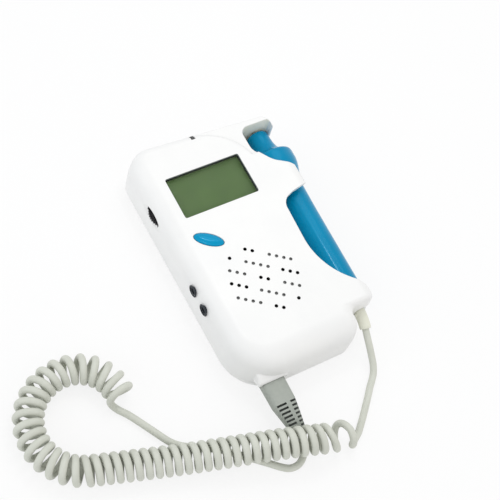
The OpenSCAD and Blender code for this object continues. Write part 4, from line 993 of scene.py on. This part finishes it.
front = loft("front_shell_moulding", parting + rolled(outline, corner_steps, rolls,
                                                      lambda d: body_h - d, growing(14, 22)[::-1]))
shape(front, add=[hood()],
      cut=[room("front_room", rolls, lambda d: face_in_z - d,
                [face_in_z - parting_z + overlap] + growing(13, 14)[::-1])])
slot_half = wheel_t / 2 + gap
shape(front, add=[
    block_at("pane_walls", lcd_x, lcd_y, pane_w / 2 + 1.4, pane_h / 2 + 1.4, window_z - 1,
             face_in_z + 0.2),
    block("scoop_wall", left_x + 2.1, left_x + 4, wheel_y - scoop_l / 2, wheel_y + scoop_l / 2,
          wheel_z - 3.2, wheel_z + 3.2)])
shape(front, cut=cradle_cut() + [
    step_cut(),
    prism("display_cut", rounded_box(lcd_x - lcd_w / 2, lcd_x + lcd_w / 2, lcd_y - lcd_h / 2,
                                     lcd_y + lcd_h / 2, 1.2, 8), body_h - 6, body_h + 4),
    block_at("pane_seat", lcd_x, lcd_y, pane_w / 2, pane_h / 2, window_z - 8, window_top),
    perforation("open_holes", open_places, hole_d, body_h - 8, body_h + 2),
    perforation("shallow_holes", dimple_places, hole_d - 0.1, body_h - 1.4, body_h + 2),
    prism("button_way", oval(button_a + gap, button_b + gap), face_in_z - 5, body_h + 1),
    block("lamp_slot", lamp_x0, lamp_x1, top_y - 6, top_y - 2.7, body_h - 5, body_h + 5),
    soft_scoop(),
    prism("wheel_slot", ring_points(wheel_x, wheel_y, wheel_r + 0.5, 96), wheel_z - slot_half,
          wheel_z + slot_half),
    *[rod("ring", (left_x - 2, y, jack_z), (left_x + 0.9, y, jack_z), ring_d / 2, 64)
      for y in (ear_y, line_y)],
    *[rod("way", (left_x - 2, y, jack_z), (jack_x0 + 0.6, y, jack_z), 2.6)
      for y in (ear_y, line_y)],
    socket_room(0, board_z + gap), mouth()])
soften(front)
settle(front, "unit", case_white, "case_white", "front_shell")


def in_holes(places, low):
    """A test for the walls and floors of some holes, from a height up, where their shade is
    painted.
    """
    return lambda x, y, z: low < z < body_h - 0.1 and any(
        math.hypot(x - a, y - b) < hole_d / 2 + 0.05 for a, b in places)


def on_display_edge(x, y, z):
    """A test for the walls of the display's opening, where their shade is painted."""
    beyond = max(abs(x - lcd_x) - lcd_w / 2, abs(y - lcd_y) - lcd_h / 2)
    return window_top + 0.05 < z < body_h - 0.05 and -0.5 < beyond < 0.1


def in_hook(x, y, z):
    """A test for the inside of the hook, where a warm cast of light is painted."""
    return channel_x - 0.2 < x < right_x - 3.1 and y > 46 and cradle_floor < z < body_h - 1


def in_wheel_slot(x, y, z):
    """A test for the walls of the wheel's slot, where their shade is painted."""
    return (abs(z - wheel_z) <= slot_half + 0.01 and left_x + 0.8 < x
            and math.hypot(x - wheel_x, y - wheel_y) < wheel_r + 0.6)


# painted shade: the open holes' walls and floors are near black
tint(front, hole_painted_shade, in_holes(open_places, face_in_z - 0.5))
# painted shade: the dimples' walls and floors are mid grey
tint(front, dimple_grey, in_holes(dimple_places, body_h - 1.6))
# painted shade: the walls of the display's opening are dark grey-blue
tint(front, display_edge_painted_shade, on_display_edge)
# painted light: the hook's inner faces that face the low end get the cream copy of the case white
tint(front, hook_painted_warm_light, in_hook, (0.35, -0.94, 0))
# painted shade: the walls of the wheel's slot are near black
tint(front, hole_painted_shade, in_wheel_slot)

rear = back_form("back_shell_moulding")
shape(rear, cut=[room("back_room", back_rolls, lambda d: wall + d,
                      growing(7, 10) + [parting_z - wall + overlap])])
rail_x0, rail_x1 = cover_x0 - 3.2, cover_x0 + cover_w + 3.2
tongue_w, tongue_t, slack, slack_z = 1.2, 0.8, 0.15, 0.075
tongue_places = (cover_x0 - tongue_w, cover_x0 + cover_w)
shape(rear, add=[
    block("bay_walls", bay_x0 - bay_wall, bay_x0 + bay_w + bay_wall, bay_y0 - bay_wall,
          bay_y0 + bay_l + bay_wall, 0, bay_top + bay_wall),
    prism("rails", [(rail_x0, cover_y0 - 1.2), (rail_x1, cover_y0 - 1.2),
                    (rail_x1, hook_edge(rail_x1) - 2.2), (rail_x0, hook_edge(rail_x0) - 2.8)],
          1, cover_t + 1.4),
    *[prism("boss", ring_points(x, y, boss_r), 0.5, parting_z) for x, y in screw_places]])
shape(rear, cut=cradle_cut() + [
    block("bay", bay_x0, bay_x0 + bay_w, bay_y0, bay_y0 + bay_l, -1, bay_top),
    block("cover_way", cover_x0 - slack, cover_x0 + cover_w + slack, cover_y0 - slack,
          cover_y0 + 90, -1, cover_t + slack_z),
    *[block("tongue_way", x - slack, x + tongue_w + slack, cover_y0 + 4 - slack, cover_y0 + 94,
            cover_t - tongue_t - slack_z, cover_t + slack_z) for x in tongue_places],
    socket_room(5.1, 18.5), mouth(),
    *[prism("seat", ring_points(x, y, screw_head_r + 0.3, 40), -1, 4.2) for x, y in screw_places],
    *[prism("hole", ring_points(x, y, screw_r + 0.3, 32), 0, parting_z + 1)
      for x, y in screw_places]])
soften(rear)
settle(rear, "unit", case_white, "case_white", "back_shell")

cover = back_form("battery_cover_moulding")
cover_mid, groove_half, groove_w, groove_pitch = cover_x0 + cover_w / 2, 7, 1.1, 2.4
shape(cover, keep=[block("cover_size", cover_x0, cover_x0 + cover_w, cover_y0, cover_y0 + 90, -1,
                         cover_t)])
shape(cover, add=[block("tongue", x, x + tongue_w, cover_y0 + 4, cover_y0 + bay_l,
                        cover_t - tongue_t, cover_t) for x in tongue_places])
shape(cover, cut=[block("groove", cover_mid - groove_half, cover_mid + groove_half, y,
                        y + groove_w, -0.5, 0.5)
                  for y in [cover_y0 + 5 + k * groove_pitch for k in range(5)]])
soften(cover)
settle(cover, "cover", case_white, "case_white", "battery_cover")

# Probe
joint_l, nose_l = 78.0, probe_l - 0.2
collar_l, core_r = nose_l - 19.4, lens_r - 0.6
spigot_r, socket_r = 8.3, 8.4
turned_sides = 128
grip_profile = [(sleeve_r + 0.1, 0), (grip_r - 3, 0)]
grip_profile += smooth_profile([
    (grip_r - 3, 0.001), (grip_r - 1.2, 1), (grip_r - 0.3, 3), (grip_r, 6), (grip_r + 0.25, 30),
    (grip_top_r - 0.4, 60), (grip_top_r, joint_l - 2)])
grip_profile += [(spigot_r, joint_l - 2), (spigot_r, joint_l + 2), (7.2, joint_l + 2),
                 (7.2, joint_l - 4), (6.4, 12), (6.4, 6), (sleeve_r + 0.1, 6)]
grip = soften(spun("probe_grip_moulding", grip_profile, turned_sides), 40, weighted=False)
settle(grip, "probe", probe_blue, "blue_gloss", "probe_grip")

head_profile = [(grip_top_r + (collar_r - grip_top_r) * (1 - math.cos(math.pi * t)) / 2,
                 joint_l - 2 + (collar_l - joint_l - 1) * t) for t in np.linspace(0, 1, 25)]
head_profile += smooth_profile([
    (collar_r + 0.001, collar_l - 2.9), (collar_r + 0.02, collar_l),
    (collar_r - 0.2, collar_l + 1.6), (collar_r - 1.3, collar_l + 2.8),
    (collar_r - 3.4, collar_l + 4), (nose_r + 2.1, collar_l + 5.4), (nose_r + 0.9, collar_l + 8),
    (nose_r + 0.2, collar_l + 12), (nose_r, nose_l - 1.4), (nose_r - 0.3, nose_l - 0.5),
    (nose_r - 0.9, nose_l)], 5)
head_profile += [
    (lens_r + 0.05, nose_l), (lens_r + 0.05, nose_l - lens_t), (core_r, nose_l - lens_t),
    (core_r, nose_l - 9.4), (nose_r, collar_l + 4), (collar_r - 2.8, collar_l - 1),
    (socket_r, joint_l + 6), (socket_r, joint_l - 2)]
head = soften(spun("probe_head_moulding", head_profile, turned_sides), 40, weighted=False)
settle(head, "probe", probe_blue, "blue_gloss", "probe_head")

lens_profile = [(0, -lens_t), (lens_r, -lens_t), (lens_r, -0.3), (lens_r - 0.25, -0.08),
                (lens_r - 1.2, 0.1), (lens_r - 3, 0.18), (0, 0.2)]
lens = spun("probe_lens_cast", [(r, nose_l + y) for r, y in lens_profile])
settle(soften(lens, 40, weighted=False), "probe", lens_pale, "lens_resin", "probe_lens")


def sleeve():
    """The cord sleeve: a flange in the tail, a straight length and a gentle bend."""
    stations = [(tail_y + 8, sleeve_r + 1), (tail_y + 6.1, sleeve_r + 1), (tail_y + 6.05, sleeve_r)]
    stations += [(y, sleeve_r) for y in np.linspace(tail_y + 5.8, tail_y - sleeve_straight, 6)]
    path, radii = [(probe_x, y, probe_z) for y, _ in stations], [r for _, r in stations]
    for part in np.linspace(0, 1, 25)[1:]:
        path.append(sleeve_centre(sleeve_turn * part))
        radii.append(sleeve_r - 0.45 * max(0, (part - 0.9) * 10) ** 2)
    return tube("probe_sleeve_moulding", path, radii, 40)


settle(soften(sleeve(), 40, weighted=False), "probe", sleeve_rubber, "sleeve_cream", "probe_sleeve")

# Boot, button and wheel
boot_y0 = mouth_end - 0.3
boot_mid, boot_tail = (boot_w - 0.6, boot_t - 0.3), (9.0, 6.2)
boot_slot_count, slot_half_l, plug_slack = 7, 0.56, 0.1


def boot_size(part):
    """The tail's width and thickness after a part of its turn."""
    return [a + (b - a) * part for a, b in zip(boot_mid, boot_tail)]


def boot_ring(centre, a, w, t, corner):
    """A rounded rectangle across the boot, turned with its tail."""
    up = np.array([0, -math.sin(a), math.cos(a)])
    return [tuple(np.array(centre) + X * x + up * z)
            for x, z in rounded_box(-w / 2, w / 2, -t / 2, t / 2, corner, 6)]


def boot():
    """The boot and the slots in its tail, each with the way back to its own place."""
    rings = [boot_ring((plug_x, boot_y0 - 0.1, plug_z), 0, boot_w - 1.0, boot_t - 1.0, 1.6),
             boot_ring((plug_x, boot_y0 - 0.6, plug_z), 0, boot_w - 0.2, boot_t - 0.2, 1.9)]
    for t in np.linspace(0.06, 1, 9):
        y = boot_y0 + (boot_bend_y - boot_y0) * t
        rings.append(boot_ring((plug_x, y, plug_z), 0, boot_w - 0.6 * t, boot_t - 0.3 * t, 2.0))
    for part in np.linspace(0, 1, 29)[1:]:
        a = boot_turn * part
        rings.append(boot_ring(boot_centre(a), a, *boot_size(part), 2.0 + 0.7 * part))
    rings.append(boot_ring(boot_tip, boot_turn, 8.0, 5.2, 2.4))
    plug_half_w, plug_half_t = plug_w / 2 + plug_slack, plug_t / 2 + plug_slack
    cuts = [block("plug_room", plug_x - plug_half_w, plug_x + plug_half_w, mouth_y - 0.1,
                  mouth_y + 30, plug_z - plug_half_t, plug_z + plug_half_t)]
    slots = []
    for k in range(boot_slot_count):
        part = (k + 0.6) / (boot_slot_count + 0.4)
        a, w = boot_turn * part, boot_size(part)[0]
        to_boot = Matrix.Translation(boot_centre(a)) @ Matrix.Rotation(a, 4, "X")
        inverse = to_boot.inverted()
        to_boot.translation *= MM
        for x0, x1, z0, z1 in ((-w / 2 + 0.9, -w / 2 + 0.9 + w * 0.44, 2.1, 7.5),
                               (w / 2 - w * 0.3, w / 2 + w * 0.7, 2.1, 7.5),
                               (w / 2 - 1.5, w / 2 + 2.5, -1.6, 1.4)):
            slot = block("slot", x0, x1, -slot_half_l, slot_half_l, z0, z1)
            slot.data.transform(to_boot)
            slots.append((inverse, x0, x1, z0, z1))
            cuts.append(slot)
    return shape(loft("plug_boot_moulding", rings), cut=cuts), slots


def in_slot(x, y, z):
    """A test for the walls and floors of the boot's slots, where their shade is painted."""
    for inverse, x0, x1, z0, z1 in boot_slots:
        p = inverse @ Vector((x, y, z))
        if x0 - 0.05 < p.x < x1 + 0.05 and abs(p.y) < 0.6 and z0 - 0.05 < p.z < z1 + 0.05:
            return True
    return False


boot_piece, boot_slots = boot()
soften(boot_piece, 35)
settle(boot_piece, "unit", boot_rubber, "boot_grey", "plug_boot")
# painted shade: the walls and floors of the boot's slots are dark
tint(boot_piece, slot_painted_shade, in_slot)


def power_button():
    """An oval cap with a low crown, its flange and its stem."""
    rim, flange_top = body_h - 0.1, face_in_z - 1.98
    layers = [(face_in_z - 2, 0.0), (rim, 0.0)]
    layers += [(rim + 0.7 * math.sin(q), 0.9 * (1 - math.cos(q)))
               for q in np.linspace(0, math.pi / 2, 9)[1:]]
    layers += [(rim + 0.7 + 0.6 * (1 - (1 - q) ** 2), 0.9 + 2.3 * q)
               for q in np.linspace(0, 1, 7)[1:]]
    cap = loft("power_button_cap", [flat_layer(oval(button_a - inset, button_b - inset), z)
                                    for z, inset in layers])
    flange = block_at("flange", 0, 0, button_a + 1, button_b + 1, face_in_z - 3.4, flange_top)
    flange.data.transform(Matrix.Translation((button_x * MM, button_y * MM, 0))
                          @ Matrix.Rotation(face_turn, 4, "Z"))
    stem = prism("stem", ring_points(button_x, button_y, 2, 32), board_top + 5, flange_top)
    return shape(cap, add=[flange, stem])


settle(soften(power_button(), 40), "button", button_blue, "blue_gloss", "power_button")


def ribbed_wheel():
    """The thumb wheel: a disc with a bore, and ribs that the tree puts round its rim."""
    rib_r = 0.42
    disc = prism("volume_wheel_moulding", ring_points(wheel_x, wheel_y, wheel_r - 0.4, 160),
                 wheel_z - wheel_t / 2, wheel_z + wheel_t / 2)
    shape(disc, cut=[prism("bore", ring_points(wheel_x, wheel_y, wheel_bore_r), wheel_z - 4,
                           wheel_z + 4)])
    p = Pattern("thumb_wheel_ribs", Rib_count=40, Rib_radius=rib_r * MM,
                Rim_radius=(wheel_r - rib_r) * MM, Thickness=wheel_t * MM)
    rim = p.node("MeshCircle", {}, {"Vertices": p.size("Rib count"),
                                    "Radius": p.size("Rim radius")})
    rib = p.node("MeshCylinder", {}, {"Vertices": 12, "Radius": p.size("Rib radius"),
                                      "Depth": p.size("Thickness")})
    middle = (wheel_x * MM, wheel_y * MM, wheel_z * MM)
    placed = p.node("Transform", {}, {"Geometry": p.copies(rim, rib), "Translation": middle})
    both = p.node("JoinGeometry", {}, {"Geometry": [placed, p.size("Geometry")]})
    return p.grow(disc, both, wheel_grey)


settle(soften(ribbed_wheel(), 35), "wheel", wheel_grey, "wheel_grey", "volume_wheel")


def socket_nuts():
    """The two sockets' round nuts in their recesses, copied along the side from one ring."""
    x0, x1 = left_x + 0.42, left_x + 0.88
    profile = [(2.62, x1), (2.62, x0 + 0.15), (2.8, x0), (3.3, x0), (3.55, x0 + 0.2), (3.55, x1)]
    ring = skin([circle(np.array([x, 0, jack_z]), Y, Z, r, 72) for r, x in profile], closed=True,
                name="socket_nut")
    p = Pattern("socket_nut_pair", Socket_pitch=(ear_y - line_y) * MM, First_socket=line_y * MM)
    line = p.line(2, p.vector(Y=p.size("First socket")), p.vector(Y=p.size("Socket pitch")))
    made = p.grow(piece("socket_nut_rings", [(0, 0, 0)]), p.copies(line, p.thing(ring)), slate)
    remove(ring)
    return made


settle(soften(socket_nuts(), 35, weighted=False), "unit", slate, "socket_black")


# Screws, contacts and springs
def screws():
    """The case screws, each with a domed head, a cross recess and a shank."""
    screw = loft("screw_head", [flat_layer(ring_points(0, 0, r, 32), z) for z, r in
                                ((4.2, screw_head_r), (3.3, screw_head_r), (2.9, 2.5), (2.6, 2.2),
                                 (2.4, 1.6))])
    shape(screw, add=[prism("shank", ring_points(0, 0, screw_r, 24), 4.1, 14.9)],
          cut=[block_at("cross", 0, 0, x, y, 1.8, 3.3) for x, y in ((1.7, 0.35), (0.35, 1.7))])
    p = Pattern("case_screw_set", Turn=0.4)
    copies = p.copies(p.size("Geometry"), p.thing(screw), Rotation=p.vector(Z=p.size("Turn")))
    start = piece("case_screws_plated", [(x, y, 0) for x, y in screw_places])
    made = p.grow(start, copies, bright_metal)
    remove(screw)
    return made


settle(soften(screws(), 35, weighted=False), "unit", bright_metal, "tinned_metal", "case_screws")


def row_of_contacts(name, y0, y1, z0, z1):
    """A row of flat contacts at an even pitch across the plug."""
    p = Pattern(name, Contact_count=contacts, Contact_pitch=contact_pitch * MM,
                Contact_width=0.5 * MM)
    first = (plug_x - (contacts - 1) / 2 * contact_pitch, (y0 + y1) / 2, (z0 + z1) / 2)
    line = p.line(p.size("Contact count"), tuple(q * MM for q in first),
                  p.vector(X=p.size("Contact pitch")))
    size = p.vector(X=p.size("Contact width"), Y=(y1 - y0) * MM, Z=(z1 - z0) * MM)
    blade = p.node("MeshCube", {}, {"Size": size})
    return p.grow(piece(name, [(0, 0, 0)]), p.copies(line, blade), gilt)


socket_back, plug_front, plug_top = mouth_end + 20, mouth_end + 12.9, plug_z + plug_t / 2
settle(row_of_contacts("socket_pin_row", socket_back - 5.25, socket_back - 4.75, board_z,
                       board_top + 0.8), "unit", gilt, "contact_gold", "socket_pins")
settle(row_of_contacts("plug_contact_row", plug_front - 4, plug_front - 0.4, plug_top - 1.6,
                       plug_top - 0.2), "unit", gilt, "contact_gold", "plug_contacts")


def contact_springs():
    """Two conical springs, each a spiral of round wire."""
    plate, nub_gap, wire_r, cell_z = 0.5, 0.05, 0.4, cover_t + 0.3 + cell_d / 2
    room_l = bay_l - 2 * plate - nub_gap - cell_l
    p = Pattern("contact_spring", Turns=3.0, Base_radius=5 * MM, Top_radius=3 * MM,
                Height=(room_l - 2 * wire_r) * MM, Wire=wire_r * MM)
    coil = p.node("CurveSpiral", {}, {"Resolution": 20, "Rotations": p.size("Turns"),
                                      "Start Radius": p.size("Base radius"),
                                      "End Radius": p.size("Top radius"),
                                      "Height": p.size("Height")})
    wire = p.node("CurvePrimitiveCircle", {}, {"Resolution": 10, "Radius": p.size("Wire")})
    body = p.node("CurveToMesh", {}, {"Curve": coil, "Profile Curve": wire, "Fill Caps": True})
    raised = p.node("Transform", {}, {"Geometry": body, "Translation": (0, 0, wire_r * MM)})
    inset = cell_d / 2 + 0.6
    both = [p.node("Transform", {}, {"Geometry": raised, "Rotation": (way * math.pi / 2, 0, 0),
                                     "Translation": (x * MM, y * MM, cell_z * MM)})
            for x, y, way in ((bay_x0 + inset, bay_y0 + plate, -1),
                              (bay_x0 + bay_w - inset, bay_y0 + bay_l - plate, 1))]
    return p.grow(piece("battery_spring_wire", [(0, 0, 0)]),
                  p.node("JoinGeometry", {}, {"Geometry": both}), bright_metal)


settle(soften(contact_springs(), 60, weighted=False), "unit", bright_metal, "tinned_metal",
       "battery_springs")

[tuple(p * MM) for p in cord_path]
